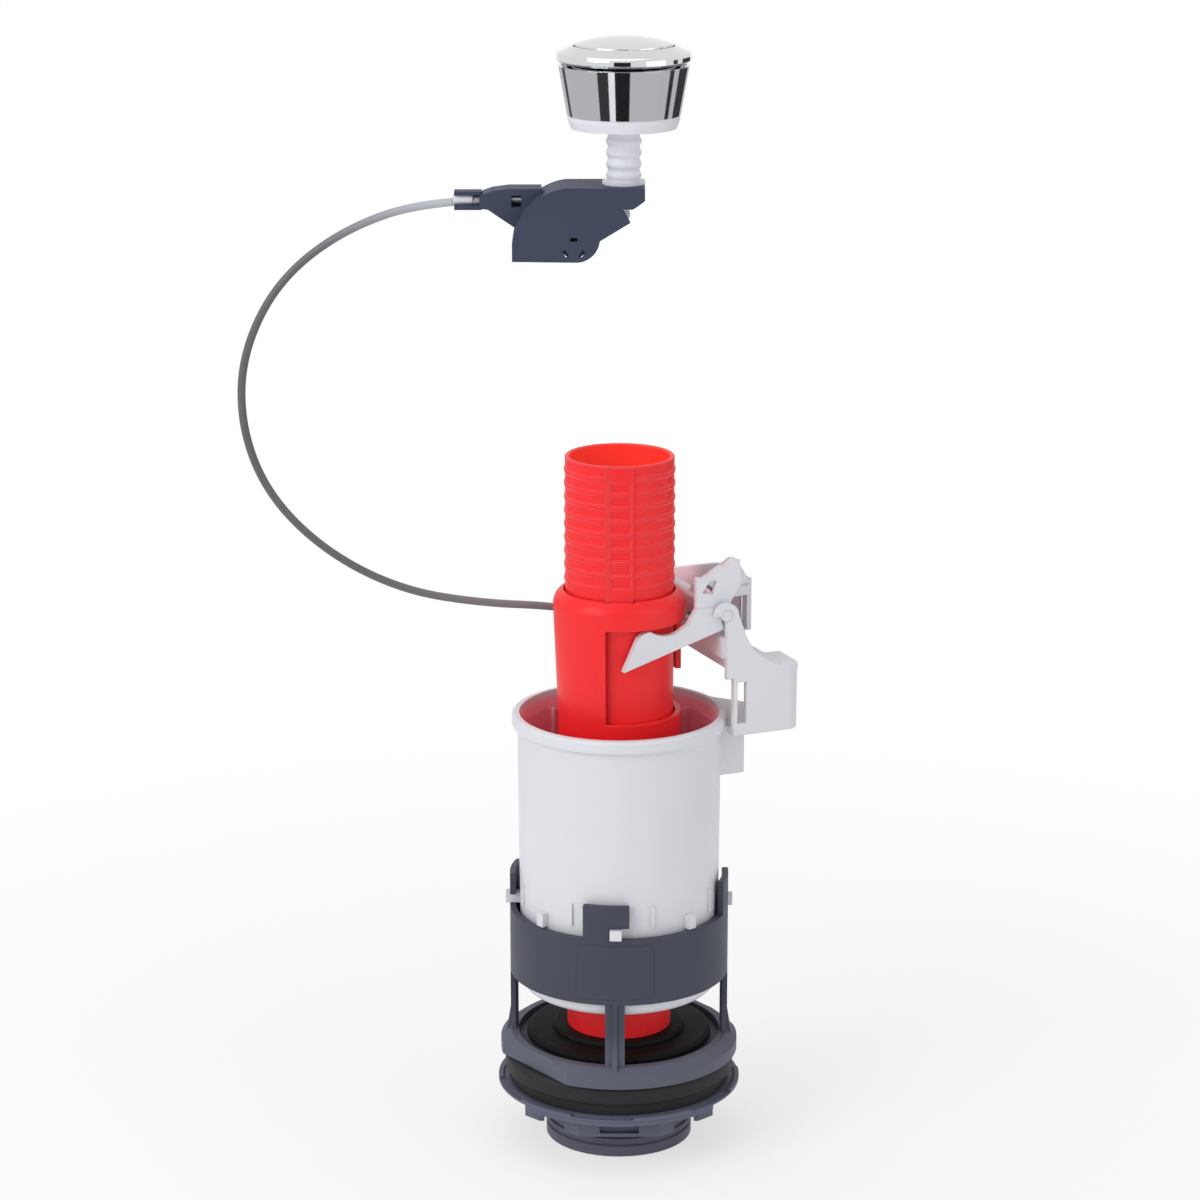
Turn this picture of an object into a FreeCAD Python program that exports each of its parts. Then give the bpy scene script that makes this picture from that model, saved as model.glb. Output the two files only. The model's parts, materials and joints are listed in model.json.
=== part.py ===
import FreeCAD, Part
import math
import os
import Sketcher

# A cable-operated flush valve for a cistern. Z points up, the origin is the centre of the water
# outlet's bottom face, and the button, its actuator and the cable loop stand over and left of it.
# All sizes are millimetres and degrees.

SIZES = [
    # clearances
    ("slide_gap", 0.3),
    ("rest_gap", 0.3),
    ("fit_gap", 0.05),
    # water outlet, flange and valve seat
    ("tail_radius", 29.8),
    ("tail_bore_radius", 26.0),
    ("thread_depth", 0.9),
    ("thread_pitch", 3.4),
    ("thread_start", 4.2),
    ("flange_bottom", 36.8),
    ("flange_radius", 48.3),
    ("flange_edge", 4.8),
    ("flange_top", 44.6),
    ("flange_top_radius", 44.0),
    ("ring_bore_radius", 41.0),
    ("seat_floor", 41.4),
    ("seat_top", 42.8),
    ("seat_radius", 34.8),
    ("seat_bead", 1.2),
    ("seat_bore_radius", 32.0),
    ("spanner_flat_depth", 4.9),
    ("spanner_flat_angle", -142.0),
    # cage above the flange
    ("leg_angle", -92.4),
    ("leg_width", 8.0),
    ("leg_plate", 1.4),
    ("leg_rib", 2.0),
    ("leg_rib_inner", 41.2),
    ("leg_foot_radius", 46.3),
    ("leg_step_up", 9.0),
    ("band_radius", 44.3),
    ("band_wall", 2.4),
    ("band_bottom", 71.0),
    ("band_height", 27.5),
    ("panel_rise", 0.3),
    ("panel_half_angle", 20.0),
    ("panel_margin", 2.5),
    ("hook_start", -16.8),
    ("hook_stem_end", -3.2),
    ("hook_end", 7.4),
    ("hook_height", 13.9),
    # back nut and gasket
    ("nut_bottom", 14.3),
    ("nut_core_radius", 33.6),
    ("nut_rim_radius", 49.35),
    ("nut_rim_bottom", 23.2),
    ("nut_rim_wall", 1.1),
    ("nut_lip_rise", 0.6),
    ("nut_lip_width", 1.75),
    ("nut_notch_depth", 0.9),
    ("nut_notch_angle", 30.0),
    ("nut_notch_start", -113.5),
    ("nut_lug_drop", 2.0),
    ("nut_lug_reach", 38.3),
    ("nut_lug_front_width", 33.0),
    ("nut_lug_width", 44.4),
    ("nut_lug_bevel", 6.0),
    ("nut_lug_side", 1.9),
    ("nut_window_width", 15.7),
    ("nut_window_rise", 1.5),
    ("nut_window_height", 3.7),
    ("nut_window_depth", 2.2),
    ("nut_skirt_setback", 0.45),
    ("nut_skirt_width", 8.9),
    ("nut_skirt_angle", 51.0),
    ("nut_skirt_height", 2.0),
    ("gasket_radius", 46.6),
    ("gasket_round", 2.2),
    ("gasket_setback", 1.8),
    ("gasket_step", 4.0),
    # cup
    ("cup_bottom", 64.0),
    ("cup_low_radius", 40.0),
    ("cup_high_radius", 40.9),
    ("cup_wall", 2.0),
    ("cup_corner", 4.8),
    ("cup_top", 180.0),
    ("rim_height", 5.6),
    ("rim_radius", 43.1),
    ("rim_bore_radius", 40.15),
    ("rim_round", 1.4),
    ("guide_wall", 2.2),
    ("guide_height", 10.0),
    ("stud_reach", 46.0),
    ("stud_half_angle", 3.0),
    ("stud_height", 4.2),
    ("stud_centre", 0.4),
    ("lug_reach", 43.2),
    ("lug_half_angle", 2.4),
    ("lug_height", 5.6),
    ("cup_rib_reach", 41.3),
    ("cup_rib_half_angle", 0.9),
    ("cup_rib_bottom", 102.0),
    ("cup_rib_height", 9.0),
    ("cup_rib_centre", -2.3),
    ("cup_rib_spread", 23.4),
    ("inner_rib_radius", 36.8),
    ("inner_rib_bottom", 80.0),
    ("inner_rib_half_angle", 1.0),
    ("socket_reach", 49.7),
    ("socket_inner", 38.6),
    ("socket_width", 24.0),
    ("socket_bottom", 151.5),
    ("socket_wall", 2.0),
    # valve tube with its lifting collar
    ("tube_radius", 21.1),
    ("tube_wall", 2.0),
    ("spigot_radius", 18.5),
    ("spigot_wall", 1.5),
    ("spigot_bottom", 36.0),
    ("step_bottom", 112.0),
    ("step_height", 6.0),
    ("wide_wall", 2.0),
    ("ledge_width", 1.65),
    ("ledge_top", 181.0),
    ("ledge_height", 20.0),
    ("collar_radius", 26.5),
    ("collar_drop", 3.0),
    ("collar_edge", 5.0),
    ("collar_rise", 8.0),
    ("collar_lip", 0.9),
    ("dome_radius", 7.2),
    ("shell_wall", 2.3),
    ("shell_half_angle", 54.0),
    ("tongue_reach", 24.7),
    ("tongue_width", 10.0),
    ("tongue_drop", 19.5),
    # overflow tube
    ("overflow_radius", 21.6),
    ("overflow_wall", 1.6),
    ("overflow_bottom", 150.0),
    ("overflow_top", 280.6),
    ("ridge_radius", 22.05),
    ("ridge_pitch", 5.5),
    ("ridge_height", 2.2),
    ("ridge_slope", 0.4),
    ("ridge_start", 234.6),
    ("overflow_rim", 3.0),
    ("ladder_reach", 22.5),
    ("ladder_half_angle", 13.6),
    ("ladder_bottom", 222.0),
    ("ladder_window_width", 6.6),
    ("ladder_window_height", 2.9),
    ("ladder_window_depth", 1.1),
    ("key_clearance", 0.6),
    # seal on the valve tube
    ("seal_radius", 37.6),
    ("seal_thickness", 2.5),
    ("seal_bevel", 0.8),
    ("retainer_radius", 26.7),
    ("retainer_height", 2.0),
    ("clip_radius", 29.4),
    ("clip_height", 3.6),
    ("fin_reach", 25.2),
    ("fin_inner", 22.0),
    ("fin_width", 2.0),
    ("fin_length", 18.0),
    # side bracket, turned about the tube
    ("side_angle", 23.0),
    ("pivot_reach", 34.0),
    ("pivot_rise", 43.0),
    ("ear_outside", 28.9),
    ("ear_wall", 2.4),
    ("hook_radius", 5.0),
    ("trunnion_radius", 2.4),
    ("plate_left", 34.0),
    ("plate_notch_drop", 26.3),
    ("strip_left", 37.0),
    ("strip_right", 38.7),
    ("slot_right", 42.6),
    ("slot_bottom", 178.0),
    ("slot_drop", 28.0),
    ("foot_bottom", 173.0),
    ("foot_wall", 3.0),
    ("foot_back", 16.0),
    ("chamber_right", 67.0),
    ("chamber_round", 6.0),
    ("chamber_back", 8.0),
    ("saddle_end_drop", 23.4),
    ("saddle_left", 42.5),
    ("saddle_drop", 9.5),
    ("saddle_radius", 24.0),
    ("saddle_wall", 2.2),
    ("tongue_left", 43.8),
    ("peg_wall", 3.7),
    ("peg_width", 19.6),
    ("peg_bottom", 154.0),
    ("cross_wall_drop", 18.0),
    ("cross_wall_height", 8.5),
    ("cross_wall_left", 32.7),
    ("cross_wall", 2.0),
    ("cross_wall_root", 37.0),
    ("channel_start", 12.0),
    ("channel_wall", 2.0),
    ("far_wall_round", 4.0),
    ("far_slot_length", 14.5),
    ("side_wall_margin", 4.5),
    ("side_wall_relief", 6.5),
    ("far_wall_rise", 6.0),
    ("channel_bend_start", 37.5),
    ("channel_bend_back", 15.0),
    ("deck_drop", 24.0),
    ("deck_wall", 2.0),
    # lift lever
    ("arm_inside", 22.6),
    ("arm_wall", 3.0),
    ("cheek_wall", 2.2),
    ("hub_radius", 3.4),
    ("sector_radius", 21.5),
    ("sector_wall", 7.0),
    ("groove_depth", 2.0),
    ("groove_width", 1.8),
    ("sector_start", 1.0),
    ("sector_end", 62.0),
    ("nipple_angle", 52.0),
    # cable
    ("sheath_radius", 1.6),
    ("wire_radius", 0.6),
    ("ferrule_radius", 2.5),
    ("ferrule_length", 6.5),
    ("nipple_radius", 1.5),
    ("nipple_length", 5.0),
    ("elbow_drop", 15.0),
    ("elbow_radius", 5.0),
    ("seat_block_back", 12.5),
    ("seat_block_front", 5.5),
    # actuator housing
    ("button_offset", 1.4),
    ("rocker_offset", -17.8),
    ("rocker_height", 368.8),
    ("housing_width", 25.0),
    ("housing_wall", 1.8),
    ("housing_arc", 23.8),
    ("housing_rise", 23.5),
    ("housing_right", 9.5),
    ("nose_width", 12.0),
    ("rocker_groove_radius", 17.5),
    ("rocker_rim_radius", 18.6),
    ("rocker_width", 9.0),
    ("rocker_wheel_start", 66.0),
    ("rocker_wheel_end", 150.0),
    ("rocker_groove_start", 76.0),
    ("rocker_groove_end", 155.0),
    ("rocker_nipple_angle", 78.0),
    ("rocker_hub_radius", 5.0),
    ("rocker_nose_reach", 19.2),
    ("rocker_nose_rise", 12.2),
    ("rocker_nose_radius", 2.5),
    # push button
    ("stem_radius", 6.9),
    ("stem_thread_depth", 0.7),
    ("stem_pitch", 4.4),
    ("stem_bore_radius", 4.5),
    ("stem_spigot_radius", 5.6),
    ("stem_foot_radius", 8.3),
    ("stem_foot_height", 1.2),
    ("stem_spigot_length", 3.8),
    ("stem_length", 21.7),
    ("base_low_radius", 20.5),
    ("base_high_radius", 21.7),
    ("base_height", 5.0),
    ("base_wall", 1.4),
    ("base_floor", 3.0),
    ("base_rim_height", 8.0),
    ("sleeve_height", 19.1),
    ("sleeve_top_radius", 25.3),
    ("sleeve_bottom_radius", 21.9),
    ("sleeve_wall", 1.2),
    ("bezel_radius", 26.0),
    ("bezel_rise", 1.1),
    ("bezel_rim_height", 3.1),
    ("bezel_crown", 3.2),
    ("bezel_bore_radius", 19.4),
    ("bezel_skirt_gap", 3.0),
    ("cap_radius", 18.95),
    ("cap_proud", 0.5),
    ("cap_rise", 3.0),
    ("cap_skirt", 8.0),
    ("cap_wall", 1.3),
    ("rod_radius", 4.2),
    ("rod_drop", 8.3),
    ("rod_collar_radius", 10.5),
    ("rod_collar_height", 1.6),
    ("spring_radius", 8.2),
    ("spring_wire", 0.45),
    ("spring_turns", 5.0),
]

# Counts of repeated features.
LEGS = 4
NUT_LUGS = 4
NUT_NOTCHES = 6
NUT_SKIRTS = 2
TAIL_THREADS = 6
RIDGES = 8
STEM_THREADS = 4
GUIDE_FINS = 4
WIRE_SIDES = 6

# Corners of the cable's route from the actuator to the bracket, where its line would turn.
CABLE_ROUTE = [
    (-37.5, 0.0, 386.3),
    (-73.0, 0.0, 386.3),
    (-108.0, 4.2, 373.7),
    (-134.5, 7.2, 352.0),
    (-149.5, 9.8, 322.0),
    (-150.2, 12.1, 292.0),
    (-139.5, 14.8, 264.5),
    (-117.5, 17.8, 241.0),
    (-88.0, 20.7, 225.3),
    (-56.0, 23.6, 219.3),
    (-24.0, 26.8, 216.2),
]


class Size:
    """A length or an angle: its value now, and the formula that ties it to the table of sizes."""

    def __init__(self, value, text=None):
        self.value = float(value)
        self.text = text if text else repr(self.value)

    def __add__(self, other):
        other = size(other)
        return Size(self.value + other.value, f"({self.text} + {other.text})")

    def __sub__(self, other):
        other = size(other)
        return Size(self.value - other.value, f"({self.text} - {other.text})")

    def __mul__(self, other):
        other = size(other)
        return Size(self.value * other.value, f"({self.text} * {other.text})")

    def __truediv__(self, other):
        other = size(other)
        return Size(self.value / other.value, f"({self.text} / {other.text})")

    def __neg__(self):
        return Size(-self.value, f"(-1 * {self.text})")

    def __radd__(self, other):
        return size(other) + self

    def __rsub__(self, other):
        return size(other) - self

    def __rmul__(self, other):
        return size(other) * self


def size(number):
    return number if isinstance(number, Size) else Size(number)


def sine(angle):
    return Size(math.sin(math.radians(angle.value)), f"sin({angle.text})")


def cosine(angle):
    return Size(math.cos(math.radians(angle.value)), f"cos({angle.text})")


def polar(radius, angle, centre=(0, 0)):
    """The point at an angle on a circle."""
    return (centre[0] + radius * cosine(angle), centre[1] + radius * sine(angle))


class Sizes:
    """The table of sizes, read as S.name."""


doc = FreeCAD.newDocument("FlushValve")
table = doc.addObject("Spreadsheet::Sheet", "Sizes")
S = Sizes()
for row, (alias, number) in enumerate(SIZES, start=1):
    table.set(f"A{row}", str(number))
    table.setAlias(f"A{row}", alias)
    setattr(S, alias, Size(number, f"Sizes.{alias}"))
doc.recompute()


def bind(item, name, value):
    """Tie a property to the table of sizes."""
    value = size(value)
    item.setExpression(name, value.text)


def new_body(label, along=None, turned=None):
    """A body with its own name, moved along X or turned about Z where asked."""
    body = doc.addObject("PartDesign::Body", label)
    body.Label = label
    if along is not None:
        body.Placement = FreeCAD.Placement(FreeCAD.Vector(along.value, 0, 0), FreeCAD.Rotation())
        bind(body, "Placement.Base.x", along)
    if turned is not None:
        turn = FreeCAD.Rotation(FreeCAD.Vector(0, 0, 1), turned.value)
        body.Placement = FreeCAD.Placement(FreeCAD.Vector(), turn)
        bind(body, "Placement.Rotation.Angle", turned)
    return body


def attach(body, item, plane, offset):
    """Lay a sketch on one of the body's own planes, raised along the plane's normal."""
    for feature in body.Origin.OriginFeatures:
        if feature.Role == plane + "_Plane":
            item.AttachmentSupport = (feature, [""])
    item.MapMode = "FlatFace"
    offset = size(offset)
    item.AttachmentOffset = FreeCAD.Placement(FreeCAD.Vector(0, 0, offset.value), FreeCAD.Rotation())
    bind(item, "AttachmentOffset.Base.z", offset)


def arc_between(start, end, radius):
    """The arc of a signed radius from start to end: positive turns left, negative turns right."""
    chord = end - start
    half = chord.Length / 2
    rise = math.sqrt(max(radius * radius - half * half, 0.0))
    side = FreeCAD.Vector(-chord.y, chord.x, 0).normalize()
    centre = (start + end) * 0.5 + side * math.copysign(rise, radius)
    circle = Part.Circle(centre, FreeCAD.Vector(0, 0, 1), abs(radius))
    first, last = (start, end) if radius > 0 else (end, start)
    return Part.ArcOfCircle(circle, circle.parameter(first), circle.parameter(last))


def add_loop(sketch, corners):
    """A closed outline. A corner is (x, y), or (x, y, radius) where an arc arrives at it."""
    points = [FreeCAD.Vector(size(c[0]).value, size(c[1]).value, 0) for c in corners]
    first = sketch.GeometryCount
    heads = []
    tails = []
    for index, start in enumerate(points):
        after = (index + 1) % len(points)
        radius = size(corners[after][2]) if len(corners[after]) > 2 else None
        if radius is None:
            sketch.addGeometry(Part.LineSegment(start, points[after]), False)
        else:
            sketch.addGeometry(arc_between(start, points[after], radius.value), False)
            bound = Size(abs(radius.value), radius.text if radius.value > 0 else (-radius).text)
            number = sketch.addConstraint(Sketcher.Constraint("Radius", first + index, bound.value))
            bind(sketch, f"Constraints[{number}]", bound)
        forward = radius is None or radius.value > 0
        heads.append((first + index, 1 if forward else 2))
        tails.append((first + index, 2 if forward else 1))
    for index, corner in enumerate(corners):
        before = tails[index - 1]
        sketch.addConstraint(Sketcher.Constraint("Coincident", *before, *heads[index]))
        for key, value in (("DistanceX", corner[0]), ("DistanceY", corner[1])):
            value = size(value)
            number = sketch.addConstraint(Sketcher.Constraint(key, -1, 1, *heads[index], value.value))
            bind(sketch, f"Constraints[{number}]", value)


def outline(body, name, plane, corners, offset=0):
    sketch = body.newObject("Sketcher::SketchObject", name + "_outline")
    attach(body, sketch, plane, offset)
    add_loop(sketch, corners)
    sketch.Visibility = False
    return sketch


def disc_outline(body, name, plane, centre, radius, offset=0):
    sketch = body.newObject("Sketcher::SketchObject", name + "_outline")
    attach(body, sketch, plane, offset)
    x, y, radius = size(centre[0]), size(centre[1]), size(radius)
    circle = Part.Circle(FreeCAD.Vector(x.value, y.value, 0), FreeCAD.Vector(0, 0, 1), radius.value)
    sketch.addGeometry(circle, False)
    for key, value in (("DistanceX", x), ("DistanceY", y)):
        number = sketch.addConstraint(Sketcher.Constraint(key, -1, 1, 0, 3, value.value))
        bind(sketch, f"Constraints[{number}]", value)
    number = sketch.addConstraint(Sketcher.Constraint("Radius", 0, radius.value))
    bind(sketch, f"Constraints[{number}]", radius)
    return sketch


def revolve(body, name, corners):
    """Turn an outline of (radius, height) corners about the body's Z axis."""
    sketch = outline(body, name, "XZ", corners)
    turned = body.newObject("PartDesign::Revolution", name)
    turned.Profile = sketch
    turned.ReferenceAxis = (sketch, ["V_Axis"])
    turned.Angle = 360
    doc.recompute()
    return turned


def extrude(body, name, kind, sketch, depth):
    before = body.Shape.Volume if kind == "PartDesign::Pocket" else None
    feature = body.newObject(kind, name)
    feature.Profile = sketch
    bind(feature, "Length", depth)
    feature.Reversed = kind == "PartDesign::Pocket"
    doc.recompute()
    if before is not None and body.Shape.Volume > before - 0.01:
        raise ValueError(f"{body.Label}: {name} removes nothing")
    return feature


def pad(body, name, plane, corners, start, end):
    """Add an outline between two distances along its plane's normal."""
    return extrude(body, name, "PartDesign::Pad", outline(body, name, plane, corners, start), end - start)


def cut(body, name, plane, corners, start, end):
    return extrude(body, name, "PartDesign::Pocket", outline(body, name, plane, corners, start), end - start)


def pad_disc(body, name, plane, centre, radius, start, end):
    sketch = disc_outline(body, name, plane, centre, radius, start)
    return extrude(body, name, "PartDesign::Pad", sketch, end - start)


def bore(body, name, plane, centre, radius, start, end):
    sketch = disc_outline(body, name, plane, centre, radius, start)
    return extrude(body, name, "PartDesign::Pocket", sketch, end - start)


def around(body, name, features, count):
    """Repeat features evenly about the Z axis."""
    pattern = body.newObject("PartDesign::PolarPattern", name)
    pattern.Originals = features
    for feature in body.Origin.OriginFeatures:
        if feature.Role == "Z_Axis":
            pattern.Axis = (feature, [""])
    pattern.Angle = 360
    pattern.Occurrences = count
    body.Tip = pattern
    doc.recompute()
    return pattern


def box_corners(left, right, low, high):
    return [(left, low), (right, low), (right, high), (left, high)]


def ring_piece(body, name, inner, outer, start, end, low, high, cutting=False):
    """Add or cut a piece of a ring between two angles, with true round walls."""
    corners = [
        (*polar(inner, start), -inner),
        polar(outer, start),
        (*polar(outer, end), outer),
        polar(inner, end),
    ]
    make = cut if cutting else pad
    return make(body, name, "XY", corners, low, high)


def turned_box(left, right, low, high, angle):
    """A box in the plane turned about the origin."""
    corners = []
    for x, y in box_corners(left, right, low, high):
        corners.append((x * cosine(angle) - y * sine(angle), x * sine(angle) + y * cosine(angle)))
    return corners


# Values that several pieces share.

tail_clear_radius = S.tail_radius + S.slide_gap
band_top = S.band_bottom + S.band_height
band_inner = S.band_radius - S.band_wall
stud_bottom = band_top + S.rest_gap
guide_radius = S.tube_radius + S.slide_gap
pivot_height = S.cup_top + S.pivot_rise
collar_bottom = pivot_height - S.collar_drop
collar_top = pivot_height + S.collar_rise
tongue_bottom = pivot_height - S.tongue_drop
plate_notch = pivot_height - S.plate_notch_drop
slot_top = pivot_height - S.slot_drop
saddle_end_height = pivot_height - S.saddle_end_drop
saddle_high = pivot_height - S.saddle_drop
cross_wall_bottom = pivot_height - S.cross_wall_drop
cross_wall_top = cross_wall_bottom + S.cross_wall_height
far_wall_top = pivot_height + S.far_wall_rise
deck_bottom = pivot_height - S.deck_drop
elbow_height = pivot_height - S.elbow_drop
nut_rim_top = S.nut_rim_bottom + S.nut_rim_wall
gasket_bottom = nut_rim_top + S.rest_gap
gasket_top = S.flange_bottom - S.rest_gap
seal_bottom = S.seat_top + S.rest_gap
seal_top = seal_bottom + S.seal_thickness
shoulder = seal_top + S.fit_gap
wide_bore = S.ridge_radius + S.slide_gap
spigot_clear = S.spigot_radius + S.fit_gap
ear_inside = S.ear_outside - S.ear_wall
arm_outside = S.arm_inside + S.arm_wall
trunnion_hole = S.trunnion_radius + S.fit_gap
foot_top = S.foot_bottom + S.foot_wall
channel_outside = S.ear_outside
channel_inside = S.ear_outside - S.channel_wall
sheath_line = S.ear_outside + S.sheath_radius + S.slide_gap
sheath_bend = sheath_line - S.channel_bend_back
wire_drop = S.pivot_reach + S.sector_radius - S.groove_depth
deck_top = deck_bottom + S.deck_wall
wall_right = wire_drop + S.side_wall_margin
housing_top = S.rocker_height + S.housing_rise
wire_height = S.rocker_height + S.rocker_groove_radius
base_bottom = housing_top + S.stem_length
base_top = base_bottom + S.base_height
base_rim_top = base_top + S.base_rim_height
sleeve_top = base_top + S.sleeve_height
bezel_bottom = sleeve_top + S.bezel_rise
bezel_edge = bezel_bottom + S.bezel_rim_height
bezel_top = bezel_edge + S.bezel_crown
bezel_skirt_bottom = base_top + S.bezel_skirt_gap
cap_edge = bezel_top + S.cap_proud
cap_top = cap_edge + S.cap_rise
cap_bottom = cap_edge - S.cap_skirt
rod_bottom = housing_top - S.rod_drop
housing_half = S.housing_width / 2
housing_inside = housing_half - S.housing_wall


def make_base_cage():
    """Threaded outlet, flange with the valve seat, four legs and the bayonet band, in one moulding."""
    body = new_body("base_cage")
    profile = [(S.tail_bore_radius, 0), (S.tail_radius, 0)]
    for turn in range(TAIL_THREADS):
        low = S.thread_start + S.thread_pitch * turn
        profile += [
            (S.tail_radius, low),
            (S.tail_radius - S.thread_depth, low + S.thread_depth / 2),
            (S.tail_radius - S.thread_depth, low + S.thread_depth),
            (S.tail_radius, low + S.thread_depth * 1.5),
        ]
    bead_half = S.seat_bead / 2
    profile += [
        (S.tail_radius, S.flange_bottom),
        (S.flange_radius, S.flange_bottom),
        (S.flange_radius, S.flange_bottom + S.flange_edge),
        (S.flange_top_radius, S.flange_top),
        (S.ring_bore_radius, S.flange_top),
        (S.ring_bore_radius, S.seat_floor),
        (S.seat_radius + S.seat_bead, S.seat_floor),
        (S.seat_radius + bead_half, S.seat_top),
        (S.seat_radius - bead_half, S.seat_top),
        (S.seat_radius - S.seat_bead, S.seat_floor),
        (S.seat_bore_radius, S.seat_floor),
        (S.seat_bore_radius, S.seat_floor - S.seat_bead),
        (S.tail_bore_radius, S.flange_bottom),
    ]
    revolve(body, "outlet", profile)
    flat_reach = S.flange_radius - S.spanner_flat_depth
    flat = turned_box(
        flat_reach, S.flange_radius + 1, -S.flange_radius, S.flange_radius, S.spanner_flat_angle
    )
    flat_cut = cut(body, "spanner_flat", "XY", flat, S.flange_bottom - 1, S.flange_top + 1)
    around(body, "spanner_flats", [flat_cut], 2)

    plate_outer = S.band_radius - S.leg_plate / 2
    half_angle = Size(
        math.degrees(S.leg_width.value / 2 / S.band_radius.value),
        f"({(S.leg_width / 2 / S.band_radius).text} * 180 / pi)",
    )
    plate = ring_piece(
        body, "leg_plate", plate_outer - S.leg_plate, plate_outer, S.leg_angle - half_angle,
        S.leg_angle + half_angle, S.flange_top - 1, S.band_bottom + 1,
    )
    around(body, "leg_plates", [plate], LEGS)
    rib_profile = [
        (S.leg_rib_inner, S.seat_floor + S.rest_gap),
        (S.leg_foot_radius, S.flange_bottom + S.flange_edge),
        (S.band_radius, S.flange_top + S.leg_step_up),
        (S.band_radius, S.band_bottom + 1),
        (S.leg_rib_inner, S.band_bottom + 1),
    ]
    rib_sketch = outline(body, "leg_rib", "XZ", rib_profile)
    rib_sketch.AttachmentOffset = FreeCAD.Placement(FreeCAD.Vector(), FreeCAD.Rotation(FreeCAD.Vector(0, 1, 0), 0))
    rib_sketch.setExpression("AttachmentOffset.Base.z", None)
    bind(rib_sketch, "AttachmentOffset.Rotation.Angle", S.leg_angle)
    rib = body.newObject("PartDesign::Pad", "leg_rib")
    rib.Profile = rib_sketch
    rib.SideType = "Symmetric"
    bind(rib, "Length", S.leg_rib)
    doc.recompute()
    around(body, "leg_ribs", [rib], LEGS)

    revolve(body, "band", box_corners(band_inner, S.band_radius, S.band_bottom, band_top))
    hook_low = stud_bottom + S.stud_height + S.rest_gap
    hook_top = band_top + S.hook_height
    stem = ring_piece(
        body, "hook_stem", band_inner, S.band_radius, S.leg_angle + S.hook_start,
        S.leg_angle + S.hook_stem_end, band_top - 1, hook_top,
    )
    over = ring_piece(
        body, "hook_over", band_inner, S.band_radius, S.leg_angle + S.hook_stem_end - 1,
        S.leg_angle + S.hook_end, hook_low, hook_top,
    )
    around(body, "hook_stems", [stem], LEGS)
    around(body, "hook_overs", [over], LEGS)
    ring_piece(
        body, "front_panel", S.band_radius - S.panel_rise, S.band_radius + S.panel_rise,
        S.leg_angle - S.panel_half_angle, S.leg_angle + S.panel_half_angle,
        S.band_bottom + S.panel_margin, band_top - S.panel_margin,
    )
    return body


def make_back_nut():
    """Wide-rimmed nut that clamps the cistern floor, with grip lugs under the rim."""
    body = new_body("back_nut")
    lip_top = nut_rim_top + S.nut_lip_rise
    lip_inner = S.nut_rim_radius - S.nut_lip_width
    lip_foot = lip_inner - S.nut_lip_width / 2
    revolve(body, "core", [
        (tail_clear_radius, S.nut_bottom),
        (S.nut_core_radius, S.nut_bottom),
        (S.nut_core_radius, S.nut_rim_bottom),
        (S.nut_rim_radius, S.nut_rim_bottom),
        (S.nut_rim_radius, lip_top),
        (lip_inner, lip_top),
        (lip_foot, nut_rim_top),
        (tail_clear_radius, nut_rim_top),
    ])
    half = S.nut_lug_width / 2
    front_half = S.nut_lug_front_width / 2
    shoulder_reach = S.nut_lug_reach - S.nut_lug_bevel
    lug_inner = shoulder_reach - S.nut_lug_side
    lug_bottom = S.nut_bottom - S.nut_lug_drop
    lug = pad(body, "lug", "XY", [
        (-half, -lug_inner),
        (-half, -shoulder_reach),
        (-front_half, -S.nut_lug_reach),
        (front_half, -S.nut_lug_reach),
        (half, -shoulder_reach),
        (half, -lug_inner),
    ], lug_bottom, S.nut_rim_bottom + S.nut_rim_wall / 2)
    around(body, "lugs", [lug], NUT_LUGS)
    window_half = S.nut_window_width / 2
    window_low = lug_bottom + S.nut_window_rise
    window = cut(
        body, "window", "XY",
        box_corners(-window_half, window_half, -(S.nut_lug_reach + 1), -(S.nut_lug_reach - S.nut_window_depth)),
        window_low, window_low + S.nut_window_height,
    )
    around(body, "windows", [window], NUT_LUGS)
    skirt_outer = S.nut_rim_radius - S.nut_skirt_setback
    skirt = ring_piece(
        body, "skirt", skirt_outer - S.nut_skirt_width, skirt_outer, -90 - S.nut_skirt_angle,
        -90 + S.nut_skirt_angle, S.nut_rim_bottom - S.nut_skirt_height,
        S.nut_rim_bottom + S.nut_rim_wall / 2,
    )
    around(body, "skirts", [skirt], NUT_SKIRTS)
    notch = ring_piece(
        body, "notch", lip_foot, S.nut_rim_radius + 1, S.nut_notch_start, S.nut_notch_start + S.nut_notch_angle,
        lip_top - S.nut_notch_depth, lip_top + 1, cutting=True,
    )
    around(body, "notches", [notch], NUT_NOTCHES)
    return body


def make_gasket():
    """Soft washer between the flange and the cistern floor."""
    body = new_body("cistern_gasket")
    side = S.gasket_radius - S.gasket_round
    low_radius = S.gasket_radius - S.gasket_setback
    step = gasket_bottom + S.gasket_step
    revolve(body, "ring", [
        (tail_clear_radius, gasket_bottom),
        (low_radius, gasket_bottom),
        (low_radius, step),
        (S.gasket_radius, step + S.gasket_setback, S.gasket_setback),
        (S.gasket_radius, gasket_top - S.gasket_round),
        (side, gasket_top, S.gasket_round),
        (tail_clear_radius, gasket_top),
    ])
    return body


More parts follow.
